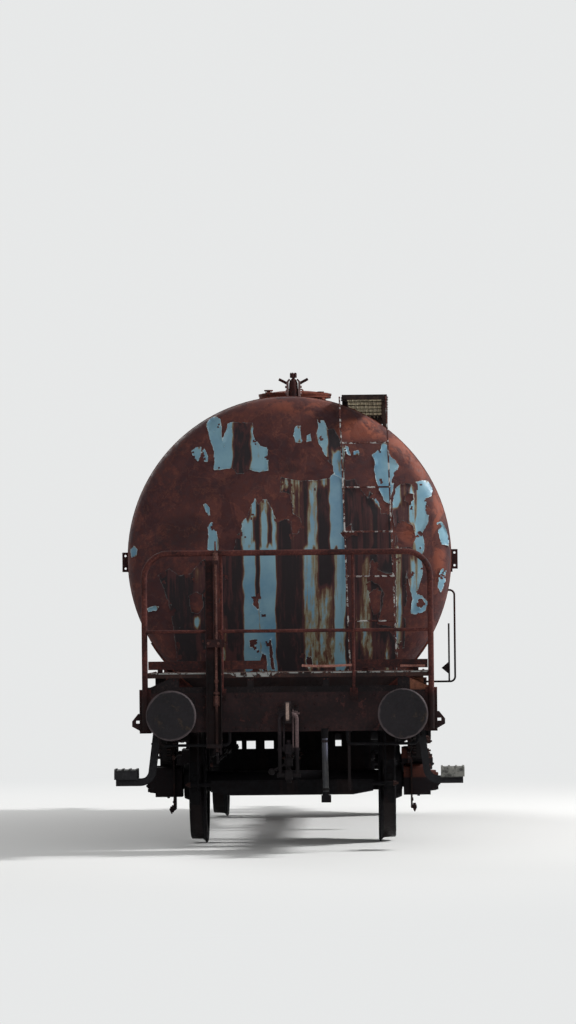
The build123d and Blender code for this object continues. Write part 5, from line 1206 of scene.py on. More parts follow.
# Columns: left, right, bottom, top, stain
PALE_COLUMNS = (
    (-0.633, -0.433, 2.937, 3.397, 0.04),
    (-0.286, -0.147, 2.917, 3.319, 0.1),
    (-0.469, -0.433, 3.103, 3.327, 0.3),
    (-0.755, -0.629, 3.005, 3.142, 0.06),
    (0.033, 0.19, 3.152, 3.299, 0.06),
    (0.229, 0.311, 3.015, 3.342, 0.08),
    (0.346, 0.44, 2.86, 3.103, 0.16),
    (0.444, 0.572, 3.044, 3.142, 0.06),
    (0.656, 0.868, 2.653, 3.152, 0.05),
    (-0.353, -0.263, 1.35, 2.36, 0.05),
    (-0.226, -0.1, 1.35, 2.36, 0.04),
    (-0.263, -0.226, 1.35, 1.95, 0.08),
    (-0.367, -0.288, 2.33, 2.56, 0.14),
    (-0.284, -0.253, 2.57, 2.74, 0.1),
    (-0.212, -0.163, 2.33, 2.6, 0.12),
    (-0.134, -0.106, 2.33, 2.62, 0.16),
    (-0.212, -0.151, 2.6, 2.715, 0.34),
    (-0.092, 0.092, 1.35, 2.28, 0.88),
    (0.225, 0.327, 2.05, 2.8, 0.84),
    (0.46, 0.56, 2.36, 2.8, 0.84),
    (0.7, 0.792, 1.6, 2.2, 0.9),
    (0.886, 0.938, 1.55, 2.45, 0.84),
    (-0.53, -0.37, 1.42, 2.2, 0.81),
    (-0.94, -0.77, 1.45, 2.1, 0.83),
    (-0.41, -0.302, 2.98, 3.3, 0.81),
    (0.166, 0.225, 2.31, 2.858, 0.18),
    (0.115, 0.229, 1.379, 2.339, 0.3),
    (0.327, 0.44, 2.31, 2.907, 0.05),
    (0.35, 0.44, 1.36, 2.339, 0.14),
    (0.229, 0.35, 1.399, 2.02, 0.36),
    (0.572, 0.632, 1.497, 2.231, 0.36),
    (0.832, 0.879, 1.516, 2.339, 0.3),
    (0.946, 0.997, 1.918, 2.241, 0.3),
    (0.993, 1.083, 2.271, 2.545, 0.06),
    (1.005, 1.06, 1.947, 2.29, 0.2),
    (1.005, 1.138, 2.515, 2.864, 0.02),
    (0.875, 0.918, 2.515, 2.833, 0.58),
    (0.944, 0.989, 2.515, 2.829, 0.3),
    (-0.531, -0.492, 1.36, 1.83, 0.36),
    (1.15, 1.257, 2.32, 2.535, 0),
    (1.15, 1.24, 1.957, 2.182, 0.04),
    (-0.663, -0.547, 2.31, 2.702, 0.1),
    (-0.751, -0.661, 2.002, 2.182, 0.5),
    (-0.743, -0.7, 1.693, 1.82, 0.16),
    (0.636, 0.66, 2.32, 2.653, 0.4),
    (-0.055, 0.005, 2.766, 2.884, 0.22),
    (0.942, 1.095, 1.794, 1.951, 0.08),
    (-1.26, -1.182, 2.261, 2.382, 0.12),
    (-1.127, -1.015, 1.8, 1.898, 0.05),
    (-0.476, -0.418, 1.36, 1.536, 0.5),
    (-0.006, 0.033, 2.515, 2.594, 0.3),
)


TANK_RADIUS, TANK_Z = 1.27, 2.259


def outline_depth(outlines: tuple[Outline, ...], x: np.ndarray, z: np.ndarray) -> np.ndarray:
    """Measures how deep points lie inside the nearest of some closed outlines.

    Args:
        outlines: The outlines' corners, as x and z.
        x: The points' x.
        z: The points' z.

    Returns:
        The distance to the nearest rim, less than zero outside.
    """
    deepest = np.full(x.shape, -1.0)
    for outline in outlines:
        corners = np.array(outline)
        low, high = corners.min(axis=0) - 0.05, corners.max(axis=0) + 0.05
        near = np.flatnonzero((x > low[0]) & (x < high[0]) & (z > low[1]) & (z < high[1]))
        px, pz = x[near], z[near]
        away = np.full(px.shape, 9.0)
        inside = np.zeros(px.shape, dtype=bool)
        for start, end in zip(corners, np.roll(corners, -1, axis=0)):
            run = end - start
            share = np.clip(((px - start[0]) * run[0] + (pz - start[1]) * run[1]) / (run @ run), 0, 1)
            away = np.minimum(away, np.hypot(px - start[0] - share * run[0], pz - start[1] - share * run[1]))
            crossing = start[0] + run[0] * (pz - start[1]) / (run[1] or 1e-9)
            inside ^= ((start[1] > pz) != (end[1] > pz)) & (px < crossing)
        deepest[near] = np.maximum(deepest[near], np.where(inside, away, -away))
    return deepest


def ease(value: np.ndarray) -> np.ndarray:
    """Turns a ramp from 0 to 1 into a smooth one."""
    share = np.clip(value, 0, 1)
    return share * share * (3 - 2 * share)


def held(value: float) -> float:
    """Keeps a value between 0 and 1."""
    return min(max(value, 0), 1)


def waves(x: np.ndarray, z: np.ndarray, across: float, upward: float, layer: float) -> np.ndarray:
    """Gives the smooth noise at points, with its own scale across and upward, in one of its layers."""
    return np.array([noise.noise((px * across, pz * upward, layer)) for px, pz in zip(x, z)])


@dataclass
class FrontPaint:
    """The film of old paint that is left on the dished front end, curled at its rims."""

    cell: float = 0.007
    reach: float = 1.261
    face_y: float = -3.143
    crown: float = 3.0
    crown_drop: float = 2.6008
    knuckle: float = 0.18
    knuckle_reach: float = 1.09
    knuckle_start: float = 1.1596
    film: float = 0.0016
    curl: float = 0.011
    curl_reach: float = 0.03
    edge_reach: float = 0.009
    seed: int = 7

    def dish(self, radius: float, lift: float) -> float:
        """Gives the dished end's y.

        Args:
            radius: Distance from the tank's axis.
            lift: Height above the steel.

        Returns:
            The y of that point.
        """
        if radius < self.knuckle_start + 0.386 * lift:
            return self.face_y - (math.sqrt((self.crown + lift) ** 2 - radius**2) - self.crown_drop)
        return self.face_y - math.sqrt((self.knuckle + lift) ** 2 - (radius - self.knuckle_reach) ** 2)

    def cover(self, x: np.ndarray, z: np.ndarray) -> np.ndarray:
        """Measures how far inside the paint points lie, with ragged rims and small flakes gone.

        Args:
            x: The points' x.
            z: The points' z.

        Returns:
            The distance, less than zero on bare steel.
        """
        # Columns: scale, layer and reach of each sway of the rims
        sways = ((7, 1, 0.011), (24, 5, 0.007), (70, 9, 0.004))
        sway = np.array([
            [noise.noise_vector((px * scale, pz * scale, layer)) * far for scale, layer, far in sways]
            for px, pz in zip(x, z)
        ]).reshape(-1, 3, 3).sum(axis=1)
        wx, wz = x + sway[:, 0], z + sway[:, 1]
        pits = np.array([noise.fractal((px * 17, pz * 13, 4), 0.6, 2.1, 4) for px, pz in zip(x, z)])
        depth = np.minimum(outline_depth(PAINTED, wx, wz), -outline_depth(FLAKED_OFF, wx, wz))
        return depth - np.clip(pits - 0.5, 0, 1) * 0.16

    def stain(self, x: np.ndarray, z: np.ndarray) -> np.ndarray:
        """Works out how dark the paint's stain is, lighter in the columns where the paint stayed pale.

        Args:
            x: The points' x.
            z: The points' z.

        Returns:
            The stain, from 0 for pale paint to 1 for near black.
        """
        drawn = np.array([noise.fractal((px * 19, pz * 0.5, 2), 0.7, 2.2, 3) for px, pz in zip(x, z)])
        sway = waves(x, z, 3, 9, 6) * 0.011
        lift = waves(x, z, 34, 2, 8) * 0.07
        stain = 0.74 + 0.5 * drawn
        for left, right, bottom, top, level in PALE_COLUMNS:
            aside = np.minimum(x + sway - left, right - x - sway)
            upward = np.minimum(z - bottom, top - z) + lift
            inside = ease(aside / 0.030 + 0.6) * ease(upward / 0.06 + 0.6)
            stain = np.where((level < stain) | (level > 0.8), stain + (level - stain) * inside, stain)
        return np.clip(stain, 0, 1)

    def build(self) -> None:
        """Cuts the film from a fine grid, lays it on the dish and curls its rims."""
        noise.seed_set(self.seed)
        bench = Bench()
        mesh = bench.mesh
        across = int(2 * self.reach / self.cell)
        bmesh.ops.create_grid(mesh, x_segments=across, y_segments=across, size=self.reach)
        at = np.array([vert.co for vert in mesh.verts])
        x, z = at[:, 0], at[:, 1] + TANK_Z
        depth = np.full(x.shape, -1.0)
        on_dish = np.hypot(at[:, 0], at[:, 1]) < self.reach
        likely = np.flatnonzero((outline_depth(PAINTED, x, z) > -0.03) & on_dish)
        depth[likely] = self.cover(x[likely], z[likely])
        rim = np.flatnonzero(np.abs(depth) < 0.7 * self.cell)
        nudge = 0.001
        slope_x = (self.cover(x[rim] + nudge, z[rim]) - depth[rim]) / nudge
        slope_z = (self.cover(x[rim], z[rim] + nudge) - depth[rim]) / nudge
        steep = np.maximum(np.hypot(slope_x, slope_z), 0.4)
        x[rim] -= np.clip(slope_x / steep, -1, 1) * depth[rim]
        z[rim] -= np.clip(slope_z / steep, -1, 1) * depth[rim]
        stain = self.stain(x, z)
        stain_layer, edge_layer = (mesh.verts.layers.float.new(name) for name in ("stain", "edge"))
        bare = []
        for vert, px, pz, deep, dark in zip(mesh.verts, x, z, depth, stain):
            vert[stain_layer] = dark
            vert[edge_layer] = held(1 - deep / self.edge_reach)
            if deep < -0.7 * self.cell:
                bare.append(vert)
                continue
            loose = held(noise.noise((px * 9, pz * 9, 3)) * 2.2 + 0.25)
            lift = self.film + self.curl * held(1 - deep / self.curl_reach) ** 2 * loose
            lift += 0.0012 * noise.noise((px * 12, pz * 12, 7))
            vert.co = (px, self.dish(min(math.hypot(px, pz - TANK_Z), self.reach), lift), pz)
        bmesh.ops.delete(mesh, geom=bare, context="VERTS")
        bmesh.ops.delete(mesh, geom=[vert for vert in mesh.verts if not vert.link_faces], context="VERTS")
        rims = [edge for edge in mesh.edges if edge.is_boundary]
        for vert in bmesh.ops.extrude_edge_only(mesh, edges=rims)["geom"]:
            if isinstance(vert, bmesh.types.BMVert):
                vert.co.y = self.dish(min(math.hypot(vert.co.x, vert.co.z - TANK_Z), self.reach), -0.001)
        bench.finish("front_paint", "front_paint", "tank_paint", closed=False)


@dataclass
class TankWelds:
    """Weld beads round the tank, along its plates and at the feet of its fittings."""

    girths: tuple[float, ...] = (-3.143, -1.42, 0.3, 2.02, 3.743)
    bead: float = 0.006
    seam_angle: float = 41.0
    # Columns: y and radius of each upright pipe, 1 on top of the tank and -1 under it
    feet: tuple[tuple[float, float, int], ...] = ((0.3, 0.262, 1), (-0.45, 0.074, 1), (-0.2, 0.09, -1))
    wrappers: tuple[float, ...] = (-3.08, -1.92, 0.3, 2.42, 3.58)
    wrapper_half: float = 0.09
    wrapper_angle: float = 58.0

    def on_shell(self, angle: float, y: float) -> Point:
        """Gives a point on the barrel, with its angle counted from the top, in degrees."""
        up, across = circle(TANK_RADIUS, angle)
        return (across, y, TANK_Z + up)

    def add_foot(self, bench: Bench, middle: float, radius: float, side: int) -> None:
        """Adds the bead where an upright pipe meets the barrel.

        Args:
            bench: The mesh under work.
            middle: The pipe's y.
            radius: The pipe's radius.
            side: 1 on top of the tank, -1 under it.
        """
        route = []
        for index in range(48):
            x, y = circle(radius, 7.5 * index)
            route.append((x, middle + y, TANK_Z + side * math.sqrt(TANK_RADIUS**2 - x * x)))
        bench.tube(tuple(route), self.bead, sides=6, closed=True)

    def build(self) -> None:
        """Builds every bead."""
        bench = Bench()
        for y in self.girths:
            bench.hoop((0, y, TANK_Z), BACK, TANK_RADIUS, self.bead, steps=120)
        for index, (start, end) in enumerate(zip(self.girths, self.girths[1:])):
            lean = self.seam_angle if index % 2 else -self.seam_angle
            for angle in (lean, lean + 180):
                bench.rod(self.on_shell(angle, start), self.on_shell(angle, end), self.bead, sides=6)
        for foot in self.feet:
            self.add_foot(bench, *foot)
        arc = [180 + self.wrapper_angle * (share / 12 - 1) for share in range(25)]
        for y in (edge for middle in self.wrappers for edge in around(middle, self.wrapper_half)):
            bench.tube(tuple(self.on_shell(angle, y) for angle in arc), self.bead, sides=6)
        bench.finish("tank_welds", "seam", "tank_paint")


@dataclass
class ManholeFittings:
    """Gasket, hinge nuts, lid lugs and handle of the manhole."""

    y: float = 0.3
    flange_top: float = 3.673
    gasket_radius: float = 0.298
    lid_crown: float = 1.42635
    lid_top: float = 3.72
    lug_angles: tuple[float, ...] = (40.0, 140.0, 220.0, 320.0)
    hinge: tuple[float, float] = (0.648, 3.695)

    def lid_z(self, radius: float) -> float:
        """Gives the height of the lid's dome at a distance from its middle."""
        return self.lid_top - self.lid_crown + math.sqrt(self.lid_crown**2 - radius**2)

    def build_fixed(self) -> None:
        """Builds the gasket, the swing bolts' wing nuts and the hinge nuts."""
        bench = Bench()
        bench.hoop((0, self.y, self.flange_top - 0.001), UP, self.gasket_radius, 0.004, steps=64)
        for side in SIDES:
            bench.fix(NUT, side * 0.046, *self.hinge, (side, 0, 0), 0.020)
        for angle in self.lug_angles:
            x, y = circle(0.314, angle)
            for reach in (-0.03, 0.03):
                aside, along = circle(reach, angle)
                tip = (x - along, self.y + y + aside, 3.563)
                bench.rod((x, self.y + y, 3.575), tip, 0.007, sides=8, far=0.004)
        bench.finish("manhole_fixings", "bolts", "tank_paint")

    def build_lid(self) -> None:
        """Builds the lid's lugs, rib, handle and vent ring, which turn with it."""
        bench = Bench()
        bench.hoop((0, self.y, self.lid_z(0.285)), UP, 0.284, 0.005, steps=64)
        for angle in self.lug_angles:
            x, y = circle(0.288, angle)
            for fork in (-0.016, 0.016):
                aside, along = circle(fork, angle)
                spans = around(x - along, 0.02), around(self.y + y + aside, 0.007), (3.688, 3.703)
                bench.box(*spans, soften=0.002, turn=angle, axis="Z")
        low = self.lid_z(0.2) - 0.003
        half = ((-0.07, low), (-0.07, low + 0.014), (-0.062, low + 0.019))
        route = (*half, *((-x, z) for x, z in reversed(half)))
        bench.tube(tuple((x, self.y - 0.19, z) for x, z in route), 0.006)
        bench.hoop((-0.225, self.y, 3.7185), UP, 0.030, 0.004, steps=24)
        bench.finish("lid_fittings", "fittings", "tank_paint", "manhole_cover")

    def build(self) -> None:
        """Builds the fixed fittings and the lid's."""
        self.build_fixed()
        self.build_lid()


# Columns: distance along the sleeve's axis, radius
SLEEVE = (
    (0.0, 0.0), (0.0, 0.074), (0.026, 0.074), (0.030, 0.070), (0.034, 0.052), (0.048, 0.040),
    (0.090, 0.0385), (0.170, 0.0385), (0.222, 0.036), (0.244, 0.030), (0.258, 0.019), (0.264, 0.012),
    (0.290, 0.012), (0.290, 0.0),
)


@dataclass
class ValvePost:
    """The bottom valve's post: a domed sleeve between two strap plates, two lifting arms and a star knob."""

    y: float = -0.45
    base: float = 3.527
    strap_x: float = 0.049
    strap_top: float = 3.766
    arm_root: tuple[float, float] = (0.046, 3.746)
    arm_tip: tuple[float, float] = (0.122, 3.786)
    arm_radius: float = 0.0115
    knob: tuple[float, float] = (3.796, 3.838)

    def build_sleeve(self) -> None:
        """Builds the sleeve with its knob and lifting arms."""
        bench = Bench()
        bench.turned((0, self.y, self.base), UP, SLEEVE, steps=40)
        low, high = self.knob
        for index in range(6):
            x, y = circle(0.020, 60 * index + 15)
            bench.rod((x, self.y + y, low), (x, self.y + y, high - 0.004), 0.010, sides=10, soften=0.003)
            bench.rod((x, self.y + y, high - 0.006), (1.25 * x, self.y + 1.25 * y, high), 0.004, sides=6)
        for side in SIDES:
            root, tip = (Vector((side * x, self.y, z)) for x, z in (self.arm_root, self.arm_tip))
            bench.rod(root, tip, self.arm_radius, soften=0.003)
            bench.hoop(root.lerp(tip, 0.22), tip - root, self.arm_radius, 0.003, steps=16)
        bench.finish("valve_post_sleeve", "post", "tank_paint", replaced="valve_post")

    def build_straps(self) -> None:
        """Builds the strap plates with their bolts and the foot's nuts."""
        bench = Bench()
        top = self.strap_top
        for side in SIDES:
            x = side * self.strap_x
            bench.box(around(x, 0.009), around(self.y, 0.030), (self.base + 0.024, top), soften=0.002)
            shoulder = (x - side * 0.018, self.y, top + 0.018)
            bench.bar((x, self.y, top - 0.002), shoulder, 0.056, 0.014, across=BACK)
            bench.fix(BOLT, side * (self.strap_x + 0.009), self.y, (3.605, 3.665, 3.72), (side, 0, 0), 0.018)
        bench.ring_of(NUT, 6, (0, self.y, self.base + 0.026), UP, 0.062, 0.015, turn=30)
        bench.finish("valve_post_straps", "strap", "tank_paint")

    def build(self) -> None:
        """Builds the sleeve and the straps."""
        self.build_sleeve()
        self.build_straps()


@dataclass
class Walkway:
    """The walkway beside the manhole: an open bar grating in a frame of angles, on legs on the tank."""

    inner_x: float = 0.426
    outer_x: float = 0.781
    front_y: float = -3.4
    rear_y: float = 1.0
    top_z: float = 3.528
    depth: float = 0.040
    leg_lip: float = 0.042
    bar_pitch: float = 0.0333
    bar_depth: float = 0.024
    cross_count: int = 6
    rod_pitch: float = 0.11
    leg_y: tuple[float, ...] = (-3.08, -2.07, -1.06, -0.05, 0.96)

    def tank_top(self, x: float) -> float:
        """Gives the height of the tank's skin at a distance from the middle."""
        return TANK_Z + math.sqrt(TANK_RADIUS**2 - x * x)

    def places(self, count: int) -> list[float]:
        """Divides the walkway's length into a number of equal fields and gives the y between them."""
        return [self.front_y + index * (self.rear_y - self.front_y) / count for index in range(1, count)]

    def add_leg(self, bench: Bench, x: float, inward: int, y: float) -> None:
        """Adds one leg with its foot on the tank.

        Args:
            bench: The mesh under work.
            x: The x of its side angle.
            inward: The direction to the walkway's middle.
            y: Its place.
        """
        low = self.top_z - self.depth
        wide = (x + inward * 0.002, x + inward * 0.036)
        if y < self.front_y + 0.4 or x > 0.5:
            foot = min(self.tank_top(edge) for edge in wide) - 0.004
            bench.box(wide, around(y, 0.003), (foot, low + 0.004))
        middle = x + inward * 0.019
        lean = math.degrees(math.asin(x / TANK_RADIUS))
        pad = around(self.tank_top(middle) + 0.003, 0.003)
        bench.box(around(middle, 0.036), around(y, 0.05), pad, turn=lean, axis="Y")

    def build_frame(self) -> None:
        """Builds the side angles, the end plates, the legs and feet, and the flats under the grating."""
        bench = Bench()
        low, top, ends = self.top_z - self.depth, self.top_z, (self.front_y, self.rear_y)
        for x, inward in ((self.inner_x, 1), (self.outer_x, -1)):
            bench.box((x, x + inward * 0.005), ends, (low, top))
            bench.box((x, x + inward * self.leg_lip), ends, (low, low + 0.005))
            for y in self.leg_y:
                self.add_leg(bench, x, inward, y)
            bench.fix(BOLT, x, self.leg_y, (top - 0.012, top - 0.030), (-inward, 0, 0), 0.012)
        for y, way in zip(ends, (1, -1)):
            bench.box((self.inner_x, self.outer_x), (y, y + way * 0.005), (low, top))
        bearer = top - 0.001 - self.bar_depth
        for y in self.places(self.cross_count):
            under = (self.inner_x + 0.003, self.outer_x - 0.003)
            bench.box(under, around(y, 0.003), (bearer - 0.007, bearer), soften=0)
        tie = around(self.leg_y[-1], 0.003)
        bench.box((self.inner_x + 0.035, self.outer_x - 0.003), tie, (low - 0.040, low), soften=0)
        rivets = (self.inner_x + 0.03, self.inner_x + 0.12, self.outer_x - 0.12, self.outer_x - 0.03)
        bench.fix(RIVET, rivets, self.front_y, top - 0.020, AHEAD, 0.012)
        bench.finish("walkway_angles", "walkway", "walkway_rust", replaced="walkway_frame")

    def build_grating(self) -> None:
        """Builds the lengthwise bars and the thin rods that cross them."""
        bench = Bench()
        top = self.top_z - 0.001
        count = int((self.outer_x - self.inner_x - 0.02) / self.bar_pitch)
        first = (self.inner_x + self.outer_x - count * self.bar_pitch) / 2
        for index in range(count + 1):
            x = around(first + index * self.bar_pitch, 0.0016)
            bench.box(x, (self.front_y + 0.004, self.rear_y - 0.004), (top - self.bar_depth, top), soften=0)
        for y in self.places(round((self.rear_y - self.front_y) / self.rod_pitch)):
            left, right = ((x, y, top - 0.004) for x in (self.inner_x + 0.003, self.outer_x - 0.003))
            bench.rod(left, right, 0.0024, sides=6)
        bench.finish("walkway_bars", "mesh", "walkway_rust", replaced="walkway_grating")

    def build(self) -> None:
        """Builds the frame and the grating."""
        self.build_frame()
        self.build_grating()


@dataclass
class EndLadder:
    """The narrow ladder of flat bars from the deck to the walkway, with thin round rungs."""

    foot: Point = (0.654, -3.7, 1.373)
    top: Point = (0.590, -3.402, 3.515)
    half_width: float = 0.182
    stile: tuple[float, float] = (0.012, 0.036)
    rung_radius: float = 0.0065
    rung_heights: tuple[float, ...] = (1.757, 2.105, 2.453, 2.801, 3.149)

    def at(self, z: float, side: int) -> Vector:
        """Gives the middle of a stile at a height."""
        share = (z - self.foot[2]) / (self.top[2] - self.foot[2])
        return Vector(self.foot).lerp(Vector(self.top), share) + Vector((side * self.half_width, 0, 0))

    def build(self) -> None:
        """Builds the stiles, the rungs and the feet."""
        bench = Bench()
        for side in SIDES:
            bench.bar(self.at(self.foot[2] + 0.004, side), self.at(self.top[2] - 0.004, side), *self.stile)
            x, y, z = self.at(self.foot[2], side)
            bench.box(around(x, 0.022), around(y, 0.032), (z, z + 0.006))
            bench.fix(BOLT, x + side * 0.014, around(y, 0.022), z + 0.006, UP, 0.010)
            for height in self.rung_heights:
                place = self.at(height, side)
                bench.hoop(place - Vector((side * 0.0075, 0, 0)), RIGHT, self.rung_radius, 0.0026, steps=14)
                bench.fix(RIVET, *(place + Vector((side * 0.006, 0, 0))), (side, 0, 0), 0.013)
        for height in self.rung_heights:
            bench.rod(self.at(height, -1), self.at(height, 1), self.rung_radius)
        bench.finish("ladder_stiles", "ladder", "railing_rust", replaced="end_ladder")


@dataclass
class RailingJoints:
    """Sleeves, weld beads and foot bolts of the platform railing."""

    y: float = -4.3115
    post_x: float = 1.095
    post_radius: float = 0.0225
    sleeve_z: float = 2.0775
    mid_z: float = 1.689
    mid_radius: float = 0.013
    inner_x: float = 0.504
    inner_radius: float = 0.0125
    top_z: float = 2.2875
    plate_y: float = -4.292

    def build(self) -> None:
        """Builds one half and mirrors it."""
        bench = Bench()
        y, inner = self.y, self.inner_radius
        low, high = ((self.post_x, y, z) for z in around(self.sleeve_z, 0.012))
        bench.rod(low, high, self.post_radius + 0.0015, sides=24, soften=0.001)
        bench.hoop((self.post_x, y, self.sleeve_z), UP, self.post_radius, 0.0042, steps=24)
        bench.hoop((self.post_x - self.post_radius, y, self.mid_z), RIGHT, self.mid_radius, 0.004, steps=16)
        for z in around(self.mid_z, self.mid_radius):
            bench.hoop((self.inner_x, y, z), UP, inner, 0.0036, steps=16)
        bench.hoop((self.inner_x, y, self.top_z - self.post_radius + 0.001), UP, inner, 0.004, steps=16)
        bench.fix(BOLT, around(self.post_x, 0.034), self.plate_y, (0.945, 1.09, 1.222), AHEAD, 0.017)
        bench.fix(BOLT, around(self.inner_x, 0.019), self.plate_y, 1.178, AHEAD, 0.016)
        bench.mirrored("X")
        bench.finish("railing_joints", "railing", "railing_rust")


@dataclass
class LooseStrip:
    """The thin bent bar that bridges the missing toe board, and the bar that hangs under the headstock."""

    route: tuple[Point, ...] = (
        (0.106, -4.2865, 1.421),
        (0.236, -4.2885, 1.416),
        (0.362, -4.2880, 1.417),
        (0.512, -4.2855, 1.424),
    )
    height: float = 0.018
    thickness: float = 0.004
    bar_x: float = 0.462
    bar_y: float = -4.226
    bar_z: tuple[float, float] = (0.455, 0.918)

    def build(self) -> None:
        """Builds the strip and the bar."""
        bench = Bench()
        for start, end in zip(self.route, self.route[1:]):
            bench.bar(start, end, self.thickness, self.height, across=BACK)
        bench.box((0.86, 1.05), (-4.2865, -4.2825), (1.404, 1.421), turn=0.6, axis="Y")
        bench.finish("loose_strip", "bare_strip", "worn_steel")
        bench = Bench()
        low, high = self.bar_z
        bench.box(around(self.bar_x, 0.011), around(self.bar_y, 0.003), (low, high))
        bench.box(around(self.bar_x, 0.02), around(self.bar_y, 0.02), (high - 0.008, high))
        bench.fix(NUT, self.bar_x, self.bar_y - 0.003, low + 0.02, AHEAD, 0.016)
        bench.finish("hanging_bar", "supports", "underframe")


@dataclass
class HandbrakeFixings:
    """Bolts, bush and gear of the hand brake column."""

    face_y: float = -4.3848
    left_x: float = -0.625
    right_x: float = -0.507
    bracket_z: tuple[float, float] = (1.568, 1.628)
    spindle: tuple[float, float] = (-0.546, -4.3628)
    column_top: float = 2.233
    rivet_z: tuple[float, ...] = (0.86, 1.02, 1.19, 1.36, 1.52)

    def build(self) -> None:
        """Builds the column's fixings."""
        bench = Bench()
        fronts = (self.left_x + 0.02, self.right_x - 0.02)
        bench.fix(BOLT, fronts, self.face_y, sum(self.bracket_z) / 2, AHEAD, 0.018)
        for x, way in ((self.left_x, LEFT), (self.right_x, RIGHT)):
            bench.fix(RIVET, x, self.face_y + 0.03, self.rivet_z, way, 0.016)
        x, y = self.spindle
        bench.hoop((x, y, self.column_top + 0.001), UP, 0.020, 0.004, steps=24)
        bench.hoop((x, y, self.column_top + 0.055), UP, 0.017, 0.003, steps=24)
        for index in range(12):
            across, along = circle(0.013, 30 * index)
            low, high = ((x + across, y + along, z) for z in (1.30, 1.32))
            bench.rod(low, high, 0.0035, sides=6)
        for index in range(26):
            bench.hoop((x, y, 0.86 + 0.008 * index), UP, 0.0112, 0.0022, steps=16, sides=4)
        bench.fix(BOLT, self.left_x + 0.02, -4.319, (0.958, 1.158), LEFT, 0.016)
        bench.finish("handbrake_fixings", "spindle", "worn_steel")


@dataclass
class PlatformFixings:
    """Bolts on the deck, on the toe boards and on the stools under the deck."""

    deck_top: float = 1.373
    deck_y: tuple[float, ...] = (-4.20, -3.95, -3.70)
    deck_x: tuple[float, ...] = (0.29, 0.575, 0.861, 1.04)
    board_face_y: float = -4.282
    board_z: float = 1.43
    board_x: tuple[float, ...] = (-0.98, -0.80, -0.55, -0.252, 0.594, 0.80, 0.98)
    stool_x: tuple[float, ...] = (0.29, 0.861)

    def build(self) -> None:
        """Builds the platform's fixings."""
        bench = Bench()
        bench.fix(RIVET, self.deck_x, self.deck_y, self.deck_top, UP, 0.022)
        for x in self.stool_x:
            bench.fix(RIVET, around(x, 0.014), -4.272, 1.318, AHEAD, 0.012)
        bench.mirrored("X")
        bench.fix(BOLT, self.board_x, self.board_face_y, self.board_z, AHEAD, 0.014)
        bench.finish("platform_fixings", "toe_board", "railing_rust")


@dataclass
class HeadstockFixings:
    """Rivets, hook plate nuts and hook bushes of both headstocks."""

    face_y: float = 4.28
    rivet_z: tuple[float, float] = (0.945, 1.192)
    rivet_x: tuple[float, ...] = (0.13, 0.215, 0.31, 0.40, 0.66, 1.10)
    hook_plate_y: float = 4.3003
    hook_plate_half: float = 0.060
    hook_z: float = 1.058

    def build(self) -> None:
        """Builds one quarter and mirrors it to both ends."""
        bench = Bench()
        bench.fix(RIVET, self.rivet_x, -self.face_y, self.rivet_z, AHEAD, 0.024)
        bench.fix(RIVET, 0.205, -self.face_y, (0.99, 1.13), AHEAD, 0.024)
        half = self.hook_plate_half
        bench.fix(NUT, half, -self.hook_plate_y, around(self.hook_z, half), AHEAD, 0.026)
        bench.mirrored("X", "Y")
        bench.finish("headstock_fixings", "headstock", "underframe")
        bench = Bench()
        bench.hoop((0, -self.hook_plate_y, self.hook_z), BACK, 0.044, 0.005, steps=32)
        for z in around(self.hook_z, 0.031):
            spans = (-0.03, 0.03), (-self.hook_plate_y - 0.02, -self.hook_plate_y), around(z, 0.003)
            bench.box(*spans, soften=0.002)
        bench.mirrored("Y")
        bench.finish("hook_bushes", "coupling", "worn_steel")


@dataclass
class BufferFixings:
    """Base nuts, sleeve beads and grease plugs of the four buffers."""

    x: float = 0.875
    z: float = 1.058
    face_y: float = 4.298
    nut_x: float = 0.134
    nut_z: float = 0.104

    def build(self) -> None:
        """Builds one buffer's fixings and mirrors them."""
        bench = Bench()
        bench.fix(NUT, around(self.x, self.nut_x), -self.face_y, around(self.z, self.nut_z), AHEAD, 0.034)
        bench.hoop((self.x, -self.face_y - 0.001, self.z), BACK, 0.129, 0.006)
        bench.hoop((self.x, -4.602, self.z), BACK, 0.124, 0.003)
        for angle in (35, 145):
            x, z = circle(0.124, angle)
            bench.fix(BOLT, self.x + x, -4.617, self.z + z, (x, 0, z), 0.018)
        bench.mirrored("X", "Y")
        bench.finish("buffer_fixings", "buffer_housing", "underframe")


@dataclass
class CouplingFixings:
    """Threads, pin nuts and collars of the screw couplings."""

    pin_y: float = -4.36
    pin_z: float = 1.058
    upper_nut: float = 0.785
    lower_nut: float = 0.588
    pin_end: float = 0.052
    thread_radius: float = 0.0168
    pitch: float = 0.007
    threads: Outline = ((0.530, 0.551), (0.626, 0.660), (0.714, 0.748), (0.822, 0.852))

    def build(self) -> None:
        """Builds one coupling's fixings and mirrors them."""
        bench = Bench()
        for low, high in self.threads:
            for index in range(int((high - low) / self.pitch)):
                middle = (0, self.pin_y, low + self.pitch * (index + 0.5))
                bench.hoop(middle, UP, self.thread_radius, 0.0026, steps=20, sides=4)
        for side in SIDES:
            bench.fix(NUT, side * self.pin_end, self.pin_y, (self.pin_z, self.upper_nut), (side, 0, 0), 0.032)
            bench.hoop((side * 0.086, self.pin_y, self.lower_nut), RIGHT, 0.016, 0.004, steps=20)
        for z in (0.7125, 0.6605):
            bench.hoop((0, self.pin_y, z), UP, 0.032, 0.004, steps=24)
        bench.mirrored("Y")
        bench.finish("coupling_fixings", "coupling", "worn_steel")


